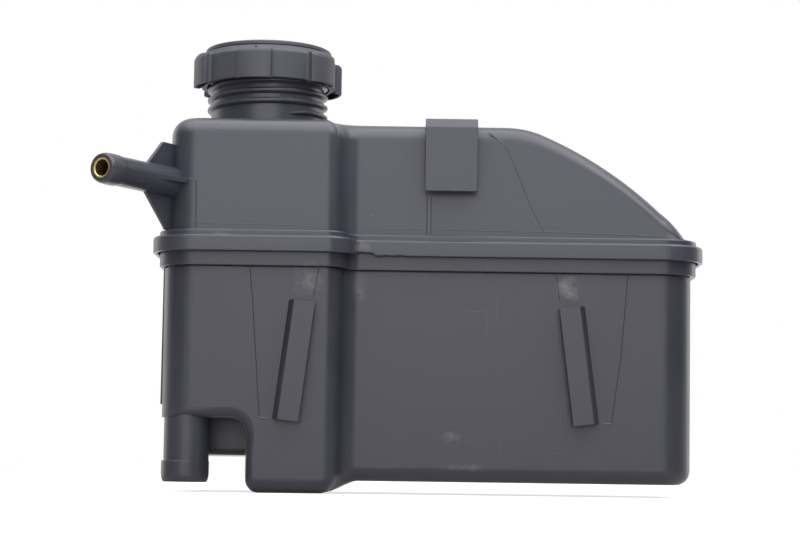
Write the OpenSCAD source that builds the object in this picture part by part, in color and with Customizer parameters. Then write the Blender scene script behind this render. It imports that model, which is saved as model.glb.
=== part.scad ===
// Moulded fluid reservoir for a car's power steering: two welded shells, hose outlets and a screw cap.
// The origin is the middle of the sump's flat foot. X runs to the sloping end, Y to the back, Z up.

/* [Tank] */
// Length of the tank over its end walls, at the seam
tank_len = 229; // [215:1:250]
// Depth of the tank from the pod's face to the back
tank_depth = 108; // [100:1:125]
// Height of the flat roof above the foot
tank_top = 161; // [152:1:175]
// Height of the weld between the two shells
seam_z = 107; // [100:1:112]
// Wall thickness of both shells
wall = 3; // [2.5:0.1:3.5]
// Radius of the upright corners, seen from above
corner_r = 14; // [12:0.5:16]
// Radius along the roof's edges
roof_r = 8; // [6:0.5:9]
// Radius along the floor's edges
floor_r = 9; // [7:0.5:10]
// Lean of the lower walls from seam to floor
lower_draft = 0.5; // [0.2:0.1:1]
// Lean of the upper walls from seam to roof
upper_draft = 1.3; // [0.6:0.1:1.6]

/* [Pod and sump] */
// Length of the pod from the left wall to the middle of the bend in the front face
pod_len = 76.8; // [72:0.1:84]
// How far the pod stands in front of the main face
pod_step = 14; // [11:0.5:15]
// Radius of both arcs of the bend
step_r = 7.7; // [7.6:0.1:9]
// How much higher the main floor lies than the foot
main_lift = 5.6; // [3:0.1:8]

/* [Shoulder] */
// Length of the sloping shoulder, back from the right wall
shoulder_len = 73.7; // [60:0.1:85]
// Height of the shoulder at the right wall, above the seam
shoulder_end = 2.1; // [1.6:0.1:4]
// Radius of the shoulder's curve
shoulder_r = 175; // [150:5:250]

/* [Flange] */
// Overhang of the upper shell's skirt
skirt_out = 5.2; // [4.8:0.1:6]
// Height of the skirt
skirt_h = 7; // [6:0.1:8]
// Thickness of the plate that the weld sits under
weld_plate_h = 2; // [1.6:0.1:3]
// Thickness of the skirt's wall
skirt_wall = 1.9; // [1.5:0.1:2.1]
// Overhang of the band above the skirt
bead_out = 2.5; // [1.5:0.1:3.5]
// Height of the band above the skirt
bead_h = 2.5; // [1.5:0.1:3.5]
// Overhang of the lower shell's band
band_out = 2.2; // [1.6:0.1:2.5]
// Height of the lower shell's band, below the seam
band_h = 11; // [9:0.5:14]

/* [Notch under the left end] */
// Length of the notch from the left wall to the sump
notch_len = 37.1; // [35:0.1:40]
// Height of the ceiling in front, over the outlet
notch_front_z = 31.6; // [28:0.1:36]
// Height of the ceiling at the back
notch_rear_z = 16; // [12:0.5:20]
// Depth of the high front part of the notch
notch_depth = 29; // [27:0.5:33]
// Radius between the ceilings and the sump's wall
notch_r = 7; // [5:0.5:9]
// Radius of the upright edge where the notch turns round the rear lobe
lobe_r = 15; // [10:0.5:18]
// Lead-in round the notch's mouth
notch_lead = 4; // [2:0.5:4]

/* [Bottom outlet] */
// Distance of the outlet's axis from the left wall
outlet_in = 10.9; // [10.7:0.1:12]
// Distance of the outlet's axis behind the pod's face
outlet_back = 12; // [11.2:0.1:13]
// Outer diameter of the outlet at its barb
outlet_d = 20.4; // [20:0.1:21.2]
// Outer diameter above the barb
outlet_shank_d = 19.3; // [18.8:0.1:19.6]
// Bore of the outlet
outlet_bore = 13.2; // [12.6:0.1:14]
// Height of the outlet's mouth above the foot
outlet_z = 4.2; // [3:0.1:7]
// Height of the barb
barb_h = 9; // [8:0.5:12]
// Height of the tapered lead-in below the barb's round land
barb_lead = 2.8; // [2:0.1:3.5]

/* [Hose nipple] */
// Height of the nipple's axis above the foot
nipple_z = 132.3; // [126:0.1:136]
// Turn of the nipple's axis from straight ahead towards the left
nipple_turn = 31; // [25:1:36]
// Length of the nipple outside the wall
nipple_len = 48; // [42:1:56]
// Outer diameter of the nipple's shank
nipple_d = 12.6; // [12:0.1:13]
// Outer diameter of the barb at its tip
nipple_barb_d = 13.2; // [13:0.1:14]
// Length of the barb
nipple_barb_len = 9; // [7:0.5:12]
// Bore of the nipple behind the sleeve
nipple_bore = 6.7; // [6:0.1:7.4]
// Thickness of the four gusset plates
gusset_t = 1.6; // [1.4:0.1:2.4]
// Reach of the gussets along the nipple
gusset_len = 18; // [15:0.5:22]
// Height of the upper gusset above the axis
gusset_up = 8.5; // [7.5:0.1:10]
// Length of the upper gusset's level top
gusset_flat = 8; // [6:0.5:10]

/* [Brass sleeve] */
// Outer diameter of the sleeve
sleeve_d = 9.2; // [8.8:0.1:9.8]
// Length of the sleeve
sleeve_len = 20; // [15:1:28]

/* [Filler neck] */
// Distance of the neck's axis from the left wall
neck_in = 40.2; // [38:0.1:44]
// Height of the neck's rim above the roof
neck_h = 29; // [27:0.5:31]
// Diameter of the neck at the thread's root
neck_d = 51.1; // [50:0.1:52]
// Bore of the neck
neck_bore = 44.4; // [44.2:0.1:45]
// Diameter over the thread's crest
thread_d = 54.7; // [54:0.1:55]
// Pitch of the coarse thread
thread_pitch = 4.6; // [4.4:0.1:5]
// Height above the roof where the thread starts
thread_start = 7.7; // [6.5:0.1:9]
// Height of the plain rim above the thread
thread_end = 2.6; // [2:0.1:4]

/* [Hook] */
// Width of the hook
hook_w = 22.7; // [20:0.1:26]
// Distance from the left wall to the hook's middle
hook_in = 123.2; // [120:0.1:150]
// Length of the hook's tongue below the roof
hook_drop = 30.6; // [26:0.1:36]
// Thickness of the tongue
hook_t = 2.5; // [2:0.1:3]
// Gap between the tongue and the tank's face
hook_gap = 4.6; // [4.2:0.1:6]
// Height of the hook above the roof
hook_rise = 1.4; // [0.8:0.1:3]

/* [Bracket rails] */
// Length of each rail
rail_len = 51; // [45:1:56]
// Width of each rail's plate
rail_w = 9.8; // [9:0.1:12]
// Thickness of each rail's plate
rail_t = 1.8; // [1.5:0.1:2.5]
// How far the rails stand out of the face
rail_out = 5.2; // [4.8:0.1:6.5]
// Lean of each rail from upright
rail_lean = 7; // [4:0.5:9]
// Height of the rails' lower ends above the foot
rail_z = 31; // [27:1:35]
// Distance from the left wall to the left rail's outer foot
left_rail_in = 50; // [47:0.5:54]
// Distance from the left wall to the right rail's outer foot
right_rail_in = 186.1; // [170:0.1:192]

/* [Baffle and strainer] */
// Thickness of the baffle plate
baffle_t = 2; // [1.5:0.1:3]
// Depth of the baffle plate below the seam
baffle_drop = 9; // [7:0.5:14]
// Clearance round the baffle plate
baffle_gap = 0.4; // [0.2:0.1:0.8]
// Diameter of the baffle's opening under the neck
baffle_port_d = 42; // [38:1:48]
// Height of the strainer above the floor over the outlet
strainer_h = 26; // [20:1:34]
// Outer diameter of the strainer's cage
strainer_d = 11.6; // [10:0.1:11.8]

/* [Cap] */
// Diameter over the cap's grip lobes
cap_d = 68.8; // [67:0.1:72]
// Diameter between the lobes
cap_core_d = 61.4; // [60.6:0.1:62.5]
// Height of the grip ring
grip_h = 13.2; // [12.4:0.1:14.5]
// Number of grip lobes
lobes = 6; // [5:1:8]
// Width of each lobe, as an angle
lobe_angle = 28; // [22:1:34]
// Turn of the first lobe from straight ahead
lobe_turn = -10.8; // [-20:0.1:20]
// Diameter of the disc on top
disc_d = 57.2; // [56:0.1:58]
// Height of the disc's rim
disc_h = 2.6; // [2.2:0.1:3.2]
// Bore of the cap round the neck's thread
cap_bore = 56; // [55.8:0.1:56.6]
// Gap between the neck's rim and the gasket when the cap is closed
seat_gap = 0.2; // [0.1:0.05:0.3]

/* [Cap insert and valves] */
// Diameter of the insert's tube
insert_d = 40.8; // [40:0.1:41.6]
// Length of the insert's tube below its plate
insert_len = 16.2; // [15:0.1:18]
// Section diameter of the sealing ring
seal_d = 2.3; // [2:0.1:2.6]
// Travel of the pressure valve
pressure_travel = 2.5; // [2:0.1:3]
// Travel of the suction valve
suction_travel = 1.2; // [0.8:0.1:1.4]
// Wire diameter of the pressure spring
spring_wire = 1.2; // [1:0.1:1.4]
// Working turns of the pressure spring
spring_turns = 5; // [4:0.5:6]
// Wire diameter of the suction spring
suction_wire = 0.6; // [0.5:0.05:0.7]

/* [Dipstick] */
// Width of the dipstick's blade
blade_w = 6; // [5:0.5:8]
// Thickness of the dipstick's blade
blade_t = 2.2; // [1.8:0.1:3]
// Height of the blade's tip above the foot
blade_tip = 38; // [36:1:60]

/* [Hidden] */
$fn = 64;

upper_grey = [0.15, 0.15, 0.16];
lower_grey = [0.11, 0.11, 0.12];
cap_grey = [0.13, 0.13, 0.14];
inner_grey = [0.2, 0.2, 0.21];
rubber_black = [0.05, 0.05, 0.05];
brass_yellow = [0.72, 0.57, 0.3];
steel_grey = [0.6, 0.61, 0.62];
stick_white = [0.85, 0.84, 0.78];

// The foot's middle lies between the notch and the bend
foot_in = 53.5;
left_x = -foot_in;
right_x = tank_len - foot_in;
back_y = tank_depth / 2;
pod_y = -tank_depth / 2;
main_y = pod_y + pod_step;
bend_x = left_x + pod_len;
cut = 0.5;
reach = 400;

// Points on an arc of n steps round a centre
function arc(cx, cy, r, from, to, n) =
    [for (i = [0:n]) let (a = from + (to - from) * i / n) [cx + r * cos(a), cy + r * sin(a)]];

// Where the bend's inner arc is centred
bend_turn = acos(1 - pod_step / (2 * step_r));
bend_in_x = bend_x + step_r * sin(bend_turn);
bend_in_y = main_y - step_r;
corner_steps = 6;
bend_steps = 5;
roof_stations = 13;

// Front edge of the plan, left to right, drawn in by g from the wall at the seam
function front_edge(g) =
    let (
        r = max(corner_r - g, 0.6),
        r1 = max(step_r - g, 0.2),
        r2 = step_r + g,
        c1y = pod_y + g + r1,
        turn = acos((c1y - bend_in_y) / (r1 + r2)),
        c1x = bend_in_x - (r1 + r2) * sin(turn),
        inner = arc(bend_in_x, bend_in_y, r2, 90 + turn, 90, bend_steps),
        end_x = right_x - g - r,
        left_arc = arc(left_x + g + r, pod_y + g + r, r, 180, 270, corner_steps),
        outer = arc(c1x, c1y, r1, 270, 270 + turn, bend_steps),
        right_arc = arc(end_x, main_y + g + r, r, 270, 360, corner_steps)
    )
    concat(
        left_arc,
        outer,
        [for (i = [1:bend_steps]) inner[i]],
        [for (i = [1:roof_stations - 1])
            [bend_in_x + (end_x - bend_in_x) * i / roof_stations, main_y + g]],
        right_arc
    );

// The back edge has a point behind each point of the front edge, so a roof that falls along X stays in clean strips
function back_of(front, i, g) =
    i <= corner_steps ? back_y - (front[i][1] - pod_y)
    : i >= len(front) - corner_steps - 1 ? back_y - (front[i][1] - main_y)
    : back_y - g;
function plan(g) =
    let (front = front_edge(g), n = len(front))
    concat(front, [for (i = [n - 1:-1:0]) [front[i][0], back_of(front, i, g)]]);

// Height of the roof: flat, then the shoulder's arc, eased into each other
shoulder_dx = shoulder_len;
shoulder_dz = tank_top - seam_z - shoulder_end;
shoulder_chord = norm([shoulder_dx, shoulder_dz]);
shoulder_sag = sqrt(pow(shoulder_r, 2) - pow(shoulder_chord / 2, 2));
shoulder_cx = right_x - shoulder_dx / 2 - shoulder_sag * shoulder_dz / shoulder_chord;
shoulder_cz = tank_top - shoulder_dz / 2 - shoulder_sag * shoulder_dx / shoulder_chord;
ease = 3;
function shoulder_z(x) = shoulder_cz + sqrt(pow(shoulder_r, 2) - pow(min(x - shoulder_cx, shoulder_r), 2));
function eased(a, b) = min(a, b) - pow(max(ease - abs(a - b), 0), 2) / (4 * ease);
function roof_z(x) = x < shoulder_cx ? tank_top : eased(tank_top, shoulder_z(x));

// Height of the floor: the foot, then an S ramp up to the main floor under the bend
ramp_from = bend_x - step_r - 1.6;
ramp_to = bend_x + step_r;
function ramp(t) = t * t * (3 - 2 * t);
function floor_z(x) = main_lift * ramp(min(max((x - ramp_from) / (ramp_to - ramp_from), 0), 1));

// One ring of a shell's skin under the roof: drawn in by g, at a drop below the roof
function roof_ring(g, drop) = [for (p = plan(g)) [p[0], p[1], roof_z(p[0]) - drop]];
// One ring of a shell's skin over the floor
function floor_ring(g, lift) = [for (p = plan(g)) [p[0], p[1], floor_z(p[0]) + lift]];
// One level ring
function level_ring(g, z) = [for (p = plan(g)) [p[0], p[1], z]];

round_steps = 5;
// Skin that rises from a level ring below the seam to the roof, with a rounded edge
function roof_rings(g, r, drop) =
    concat(
        [level_ring(g, seam_z - 14)],
        [for (k = [0:round_steps]) let (a = 90 * k / round_steps)
            roof_ring(g + upper_draft + r * (1 - cos(a)), drop + r * (1 - sin(a)))]
    );
// Skin that rises from the rounded floor to a level ring at the top
function floor_rings(g, r, lift, top) =
    concat(
        [for (k = [round_steps:-1:0]) let (a = 90 * k / round_steps)
            floor_ring(g + lower_draft + r * (1 - cos(a)), lift + r * (1 - sin(a)))],
        [level_ring(g, top)]
    );

// Closed solid through rings that share one layout: front edge left to right, then back edge right to left
module skin(rings) {
    n = len(rings[0]);
    h = n / 2;
    top = (len(rings) - 1) * n;
    points = [for (ring = rings) each ring];
    sides = [for (j = [0:len(rings) - 2]) for (i = [0:n - 1])
        let (a = j * n + i, b = j * n + (i + 1) % n)
        each [[a, a + n, b + n], [a, b + n, b]]];
    lid = [for (i = [0:h - 2]) each
        [[top + i, top + n - 1 - i, top + n - 2 - i], [top + i, top + n - 2 - i, top + i + 1]]];
    base = [for (i = [0:h - 2]) each [[i, i + 1, n - 2 - i], [i, n - 2 - i, n - 1 - i]]];
    polyhedron(points = points, faces = concat(sides, lid, base), convexity = 6);
}

// Level slab with the tank's plan
module slab(g, from, to) {
    translate([0, 0, from]) linear_extrude(height = to - from) polygon(plan(g));
}

// Ring swept up a screw line. Its section is a trapezium from a base radius to a crest radius.
screw_steps = 30;
module screw_ridge(base_r, crest_r, base_w, crest_w, start_angle, start_z, turns, taper) {
    n = round(turns * screw_steps);
    section = function (i)
        let (
            a = start_angle + 360 * i / screw_steps,
            z = start_z + thread_pitch * i / screw_steps,
            k = taper ? min(1, (n - i + 0.5) / 3) : 1,
            crest = base_r + (crest_r - base_r) * k
        )
        [for (p = [[base_r, -base_w / 2], [crest, -crest_w / 2], [crest, crest_w / 2], [base_r, base_w / 2]])
            [p[0] * cos(a), p[0] * sin(a), z + p[1]]];
    points = [for (i = [0:n]) each section(i)];
    outward = crest_r > base_r;
    sides = [for (i = [0:n - 1]) for (k = [0:3])
        let (a = 4 * i + k, b = 4 * i + (k + 1) % 4)
        each [[a, a + 4, b + 4], [a, b + 4, b]]];
    ends = [[0, 1, 2], [0, 2, 3], [4 * n + 2, 4 * n + 1, 4 * n], [4 * n + 3, 4 * n + 2, 4 * n]];
    faces = concat(sides, ends);
    polyhedron(points = points, faces = outward ? [for (f = faces) [f[2], f[1], f[0]]] : faces, convexity = 8);
}

// Round wire wound into a coil between two heights
wire_sides = 8;
coil_steps = 14;
module coil(mean_r, wire_d, from, to, turns) {
    n = round(turns * coil_steps);
    run = to - from - wire_d;
    points = [for (i = [0:n]) let (a = 360 * i / coil_steps) for (k = [0:wire_sides - 1])
        let (b = 360 * k / wire_sides, r = mean_r + wire_d / 2 * cos(b))
        [r * cos(a), r * sin(a), from + wire_d / 2 + run * i / n + wire_d / 2 * sin(b)]];
    sides = [for (i = [0:n - 1]) for (k = [0:wire_sides - 1])
        let (a = wire_sides * i + k, b = wire_sides * i + (k + 1) % wire_sides)
        each [[a, b, b + wire_sides], [a, b + wire_sides, a + wire_sides]]];
    ends = [for (k = [1:wire_sides - 2]) each
        [[0, k + 1, k], [wire_sides * n, wire_sides * n + k, wire_sides * n + k + 1]]];
    polyhedron(points = points, faces = concat(sides, ends), convexity = 8);
}

// Revolved ring between two radii
module ring(r_in, r_out, from, to) {
    rotate_extrude() translate([r_in, from]) square([r_out - r_in, to - from]);
}

// Neck and thread
neck_x = left_x + neck_in;
neck_top = tank_top + neck_h;
thread_from = tank_top + thread_start;
thread_to = neck_top - thread_end;
thread_turns = (thread_to - thread_from) / thread_pitch;
thread_angle = 298;
ridge_w = 2.7;
ridge_crest_w = 1;
module at_neck() translate([neck_x, 0, 0]) children();

module neck_outside() {
    at_neck() {
        translate([0, 0, tank_top - roof_r]) cylinder(h = neck_top - tank_top + roof_r, d = neck_d);
        screw_ridge(neck_d / 2 - 0.7, thread_d / 2, ridge_w, ridge_crest_w, thread_angle, thread_from,
                    thread_turns, true);
    }
}

// Hose nipple, drawn along its own axis and set through the left front corner
nipple_at = [left_x + 3, pod_y + 8, nipple_z];
module at_nipple() translate(nipple_at) rotate([0, 0, -nipple_turn]) rotate([90, 0, 0]) children();
nipple_root = 12;
lip = 0.6;
module nipple_outside() {
    tip = nipple_len;
    barb_from = tip - nipple_barb_len;
    at_nipple() rotate_extrude() polygon([
        [0, -nipple_root], [nipple_d / 2 + 0.5, -nipple_root], [nipple_d / 2 + 0.5, 2],
        [nipple_d / 2, gusset_len + 1], [nipple_d / 2, barb_from], [nipple_barb_d / 2, barb_from + lip],
        [nipple_barb_d / 2, barb_from + nipple_barb_len * 0.6], [nipple_d / 2 - 0.1, tip - lip], [nipple_d / 2 - lip, tip], [0, tip]
    ]);
}

// Upright gusset above and below the nipple, and a level one on each side
module gussets() {
    r = nipple_d / 2 - 0.6;
    down = nipple_z - (seam_z + weld_plate_h + bead_h);
    translate(nipple_at) rotate([0, 0, -nipple_turn]) {
        rotate([0, -90, 0]) linear_extrude(height = gusset_t, center = true) polygon([
            [gusset_up, nipple_root - 2], [gusset_up, -gusset_flat], [r, -gusset_len], [-r, -gusset_len - 1.5],
            [-down, -4.8], [-down, nipple_root - 2]
        ]);
        linear_extrude(height = gusset_t, center = true) polygon([
            [-7, nipple_root - 2], [-13, nipple_root - 6], [-r, -gusset_len + 5], [r, -gusset_len + 5],
            [9.5, -2.4], [9.5, nipple_root - 4]
        ]);
    }
}

module nipple_bores() {
    at_nipple() {
        translate([0, 0, nipple_len - sleeve_len]) cylinder(h = sleeve_len + cut, d = sleeve_d);
        translate([0, 0, -nipple_root - cut]) cylinder(h = nipple_len + nipple_root, d = nipple_bore);
    }
}

// Hook that drops over a bracket's tab
hook_face_y = main_y + upper_draft;
hook_top = tank_top + hook_rise;
hook_bevel = 3.9;
module hook() {
    front = hook_face_y - hook_gap - hook_t;
    back = hook_face_y - hook_gap;
    translate([left_x + hook_in - hook_w / 2, 0, 0]) rotate([90, 0, 90]) linear_extrude(height = hook_w) polygon([
        [front, tank_top - hook_drop], [front, hook_top - hook_bevel], [front + hook_t - 0.3, hook_top],
        [hook_face_y + roof_r + 1, hook_top], [hook_face_y + roof_r + 1, tank_top - roof_r],
        [hook_face_y + 1, tank_top - roof_r], [hook_face_y + 1, tank_top - 4], [back, tank_top - 4],
        [back, tank_top - hook_drop]
    ]);
}

// Skirt that hides the weld, with the bead above it
module upper_flange() {
    difference() {
        slab(-skirt_out, seam_z + weld_plate_h - skirt_h, seam_z + weld_plate_h);
        slab(-skirt_out + skirt_wall, seam_z - skirt_h - cut, seam_z);
    }
    slab(-bead_out, seam_z, seam_z + weld_plate_h + bead_h);
}

module upper_shell() {
    color(upper_grey) difference() {
        union() {
            difference() {
                skin(roof_rings(lower_draft, roof_r, 0));
                translate([-reach / 2, -reach / 2, seam_z - reach]) cube([reach, reach, reach]);
            }
            upper_flange();
            neck_outside();
            nipple_outside();
            gussets();
            hook();
        }
        skin(roof_rings(lower_draft + wall, roof_r - wall, wall));
        at_neck() translate([0, 0, tank_top - reach / 8]) cylinder(h = reach / 4, d = neck_bore);
        nipple_bores();
    }
}

// Profile of the notch, seen from the front, open to the left and below
module notch_profile(ceiling, grow) {
    r = notch_r + grow;
    edge = left_x + notch_len + grow;
    top = ceiling + grow;
    polygon(concat([[left_x - 20, -20], [edge, -20]], arc(edge - r, top - r, r, 0, 90, 6), [[left_x - 20, top]]));
}
module notch_block(ceiling, grow, from_y, to_y) {
    translate([0, to_y, 0]) rotate([90, 0, 0]) linear_extrude(height = to_y - from_y) notch_profile(ceiling, grow);
}
module notch(grow) {
    step_y = pod_y + notch_depth + grow;
    notch_block(notch_rear_z, grow, pod_y - 20, back_y + 20);
    notch_block(notch_front_z, grow, pod_y - 20, step_y);
    lobe_edge(grow);
}
// Rounded upright edge of the lobe behind the outlet
module lobe_edge(grow) {
    cx = left_x + lobe_r;
    cy = pod_y + notch_depth + lobe_r;
    translate([0, 0, -20]) linear_extrude(height = 20 + notch_front_z + grow) polygon(concat(
        [[left_x - 20, cy], [left_x - 20, pod_y], [cx, pod_y]], arc(cx, cy, lobe_r - grow, 270, 180, 6)));
}
module notch_mouth() {
    hull() {
        notch_block(notch_front_z, notch_lead, pod_y - 1, pod_y);
        notch_block(notch_front_z, 0, pod_y + notch_lead, pod_y + notch_lead + 0.1);
    }
}

// Outlet stub under the notch's ceiling
outlet_x = left_x + outlet_in;
outlet_y = pod_y + outlet_back;
outlet_floor = notch_front_z + wall;
module at_outlet() translate([outlet_x, outlet_y, 0]) children();
// The shank stands towards the front and the sump, so the barb's step shows at its left and rear only
shank_shift = (outlet_d - outlet_shank_d) / 2 * cos(45);
module outlet_outside() {
    r = outlet_shank_d / 2;
    at_outlet() rotate_extrude() polygon([
        [0, outlet_z], [r, outlet_z], [outlet_d / 2, outlet_z + barb_lead], [outlet_d / 2, outlet_z + barb_h],
        [0, outlet_z + barb_h]
    ]);
    intersection() {
        at_outlet() translate([shank_shift, -shank_shift, 0]) rotate_extrude() polygon([
            [0, outlet_z + barb_h - 1], [r, outlet_z + barb_h - 1], [r, notch_front_z - 4],
            [r + 2.6, notch_front_z + 1], [0, notch_front_z + 1]
        ]);
        slab(0, 0, notch_front_z + wall);
    }
}

// Rails that a bracket slides behind, hooked towards each other
module rail(side) {
    flank = 2;
    web = 2.2;
    sunk = 1.2;
    rotate([0, side * rail_lean, 0]) linear_extrude(height = rail_len) polygon([for (p = [
        [-flank, sunk], [0, -rail_out + 0.8], [0.8, -rail_out], [rail_w, -rail_out], [rail_w, -rail_out + rail_t],
        [web, -rail_out + rail_t], [web, sunk]]) [side * p[0], p[1]]]);
}
module rails() {
    translate([left_x + left_rail_in, pod_y, rail_z]) rail(1);
    translate([left_x + right_rail_in, main_y, rail_z]) rail(-1);
}

// Rib down the left wall, and ribs inside that the baffle plate sits on
baffle_z = seam_z - baffle_drop;
post_w = 4;
post_reach = 4;
post_h = 26;
post_clear = 3.1;
// Two posts stand on the pod's wall and two behind the bend
pod_posts = [18, pod_len - step_r - post_clear - post_w];
main_posts = [pod_len + 39.2, tank_len - 59];
module side_rib() {
    translate([left_x - 1.4, pod_y + 22, notch_front_z + 5.5])
        cube([1.4 + cut, 3, seam_z - band_h - notch_front_z - 5.5 + cut]);
}
module baffle_posts() {
    for (post = concat(pod_posts, main_posts))
        translate([left_x + post, back_y - wall - post_reach, baffle_z - post_h])
            cube([post_w, post_reach + wall / 2, post_h]);
    for (post = pod_posts)
        translate([left_x + post, pod_y + wall / 2, baffle_z - post_h]) cube([post_w, post_reach + wall / 2, post_h]);
    for (post = main_posts)
        translate([left_x + post, main_y + wall / 2, baffle_z - post_h]) cube([post_w, post_reach + wall / 2, post_h]);
}

module lower_shell() {
    color(lower_grey) difference() {
        union() {
            difference() {
                union() {
                    skin(floor_rings(0, floor_r, 0, seam_z));
                    slab(-band_out, seam_z - band_h, seam_z);
                    side_rib();
                }
                difference() {
                    skin(floor_rings(wall, floor_r - wall, wall, seam_z + 1));
                    notch(wall);
                }
                notch(0);
                notch_mouth();
            }
            outlet_outside();
            rails();
            baffle_posts();
        }
        at_outlet() translate([0, 0, outlet_z - cut]) cylinder(h = outlet_floor - outlet_z + 2 * cut, d = outlet_bore);
    }
}

// Brass sleeve moulded into the nipple's tip
module nipple_sleeve() {
    color(brass_yellow) at_nipple() difference() {
        translate([0, 0, nipple_len - sleeve_len]) cylinder(h = sleeve_len, d = sleeve_d);
        translate([0, 0, nipple_len - sleeve_len - cut]) cylinder(h = sleeve_len + 2 * cut, d = nipple_bore);
    }
}

// Perforated plate that calms the fluid, on the posts of the lower shell
hole_pitch = 16;
hole_d = 7;
module baffle_plate() {
    color(inner_grey) difference() {
        slab(wall + baffle_gap, baffle_z, baffle_z + baffle_t);
        at_neck() translate([0, 0, baffle_z - cut]) cylinder(h = baffle_t + 2 * cut, d = baffle_port_d);
        for (i = [0:8]) for (j = [-2:2])
            translate([neck_x + 34 + hole_pitch * i, 7 + hole_pitch * j, baffle_z - cut])
                cylinder(h = baffle_t + 2 * cut, d = hole_d, $fn = 24);
    }
}

// Cage over the outlet, with a spigot in its bore
strainer_foot = 2.4;
strainer_lid = 2;
strainer_posts = 4;
spigot_len = 8;
spigot_wall = 1;
mesh_t = 0.6;
mesh_top = outlet_floor + strainer_h - strainer_lid;
module strainer_frame() {
    r = strainer_d / 2;
    color(inner_grey) at_outlet() {
        difference() {
            union() {
                translate([0, 0, outlet_floor - spigot_len]) cylinder(h = spigot_len, d = outlet_bore);
                translate([0, 0, outlet_floor]) cylinder(h = strainer_foot, r = r);
            }
            translate([0, 0, outlet_floor - spigot_len - cut])
                cylinder(h = spigot_len + strainer_foot + 2 * cut, r = r - 2 * spigot_wall - mesh_t);
        }
        difference() {
            translate([0, 0, mesh_top]) cylinder(h = strainer_lid, r = r);
            translate([0, 0, mesh_top - cut]) cylinder(h = strainer_lid + 2 * cut, r = 1.5);
        }
        for (i = [0:strainer_posts - 1]) rotate([0, 0, 45 + 360 / strainer_posts * i])
            translate([r - spigot_wall, -spigot_wall, outlet_floor + strainer_foot / 2])
                cube([spigot_wall * 0.9, 2 * spigot_wall, strainer_h - strainer_foot / 2 - strainer_lid / 2]);
    }
}

// Fine gauze sleeve inside the cage
mesh_rows = 4;
mesh_holes = 10;
mesh_hole_d = 1.8;
module strainer_mesh() {
    r = strainer_d / 2 - spigot_wall;
    from = outlet_floor + strainer_foot;
    row = (mesh_top - from) / mesh_rows;
    color(steel_grey) at_outlet() difference() {
        ring(r - mesh_t, r, from, mesh_top);
        for (j = [0:mesh_rows - 1]) for (i = [0:mesh_holes - 1])
            translate([0, 0, from + row * (j + 0.5)]) rotate([0, 90, 360 / mesh_holes * (i + j % 2 / 2)])
                translate([0, 0, r - 2 * mesh_t]) cylinder(h = 3 * mesh_t, d = mesh_hole_d, $fn = 16);
    }
}

// Heights of the cap's pieces, from the neck's rim upward
gasket_t = 2;
plate_from = neck_top + seat_gap + gasket_t;
plate_t = 1.8;
deck_gap = 0.3;
deck_from = plate_from + plate_t + deck_gap;
deck_top = deck_from + 3.1;
grip_top = deck_top - 2.4;
grip_from = grip_top - grip_h;
boss_r = 9.95;
boss_gap = 0.05;
clip_from = deck_top + 0.1;
clip_t = 0.9;
clip_r = 13;
disc_plate_t = 1.3;
disc_rim = 4.5;
snap_r = 25.4;
snap_w = 1.4;
snap_depth = 1.6;
cap_thread_r = neck_d / 2 + 0.5;
cap_thread_turns = 1.2;
cap_thread_w = 2.4;
pocket_wall = 1.6;

// One grip lobe, as a sector that stands out of the core
module lobe(r, angle, from, to) {
    rotate([0, 0, -90 - angle / 2]) rotate_extrude(angle = angle)
        translate([cap_core_d / 2 - 1.2, from]) square([r - cap_core_d / 2 + 1.2, to - from]);
}
module cap_shell() {
    shoulder = 2.2;
    color(cap_grey) at_neck() {
        difference() {
            union() {
                rotate_extrude() polygon([
                    [0, grip_from + 0.8], [cap_core_d / 2, grip_from + 0.8], [cap_core_d / 2, grip_top],
                    [disc_d / 2 + 0.3, deck_top], [0, deck_top]
                ]);
                for (i = [0:lobes - 1]) rotate([0, 0, lobe_turn + 360 / lobes * i])
                    lobe(cap_d / 2, lobe_angle, grip_from, grip_top - shoulder / 4);
            }
            translate([0, 0, grip_from - cut]) cylinder(h = deck_from - grip_from + cut, d = cap_bore);
            translate([0, 0, deck_from - cut]) cylinder(h = reach, r = boss_r + boss_gap);
            ring(snap_r - snap_w, snap_r, deck_top - snap_depth, deck_top + cut);
            for (i = [0:lobes - 1]) rotate([0, 0, lobe_turn + 360 / lobes * i])
                rotate([0, 0, -90 - lobe_angle / 2 + 3]) rotate_extrude(angle = lobe_angle - 6)
                    translate([cap_bore / 2 + pocket_wall, grip_from - cut])
                        square([cap_d / 2 - cap_bore / 2 - 2 * pocket_wall, grip_h * 0.7]);
        }
        screw_ridge(cap_bore / 2 + 0.5, cap_thread_r, cap_thread_w, ridge_crest_w, thread_angle,
                    thread_from + thread_pitch * (ceil((grip_from + 2.7 - thread_from) / thread_pitch - 0.5) + 0.5),
                    cap_thread_turns, false);
    }
}

module cap_disc() {
    r = disc_d / 2;
    top = deck_top + disc_h;
    edge = 0.7;
    color(cap_grey) at_neck() rotate_extrude() polygon([
        [0, top - disc_plate_t], [snap_r - snap_w + 0.1, top - disc_plate_t],
        [snap_r - snap_w + 0.1, deck_top - snap_depth + 0.2], [snap_r - 0.1, deck_top - snap_depth + 0.2],
        [snap_r - 0.1, deck_top], [r, deck_top], [r, top - edge], [r - edge, top], [0, top]
    ]);
}

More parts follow.
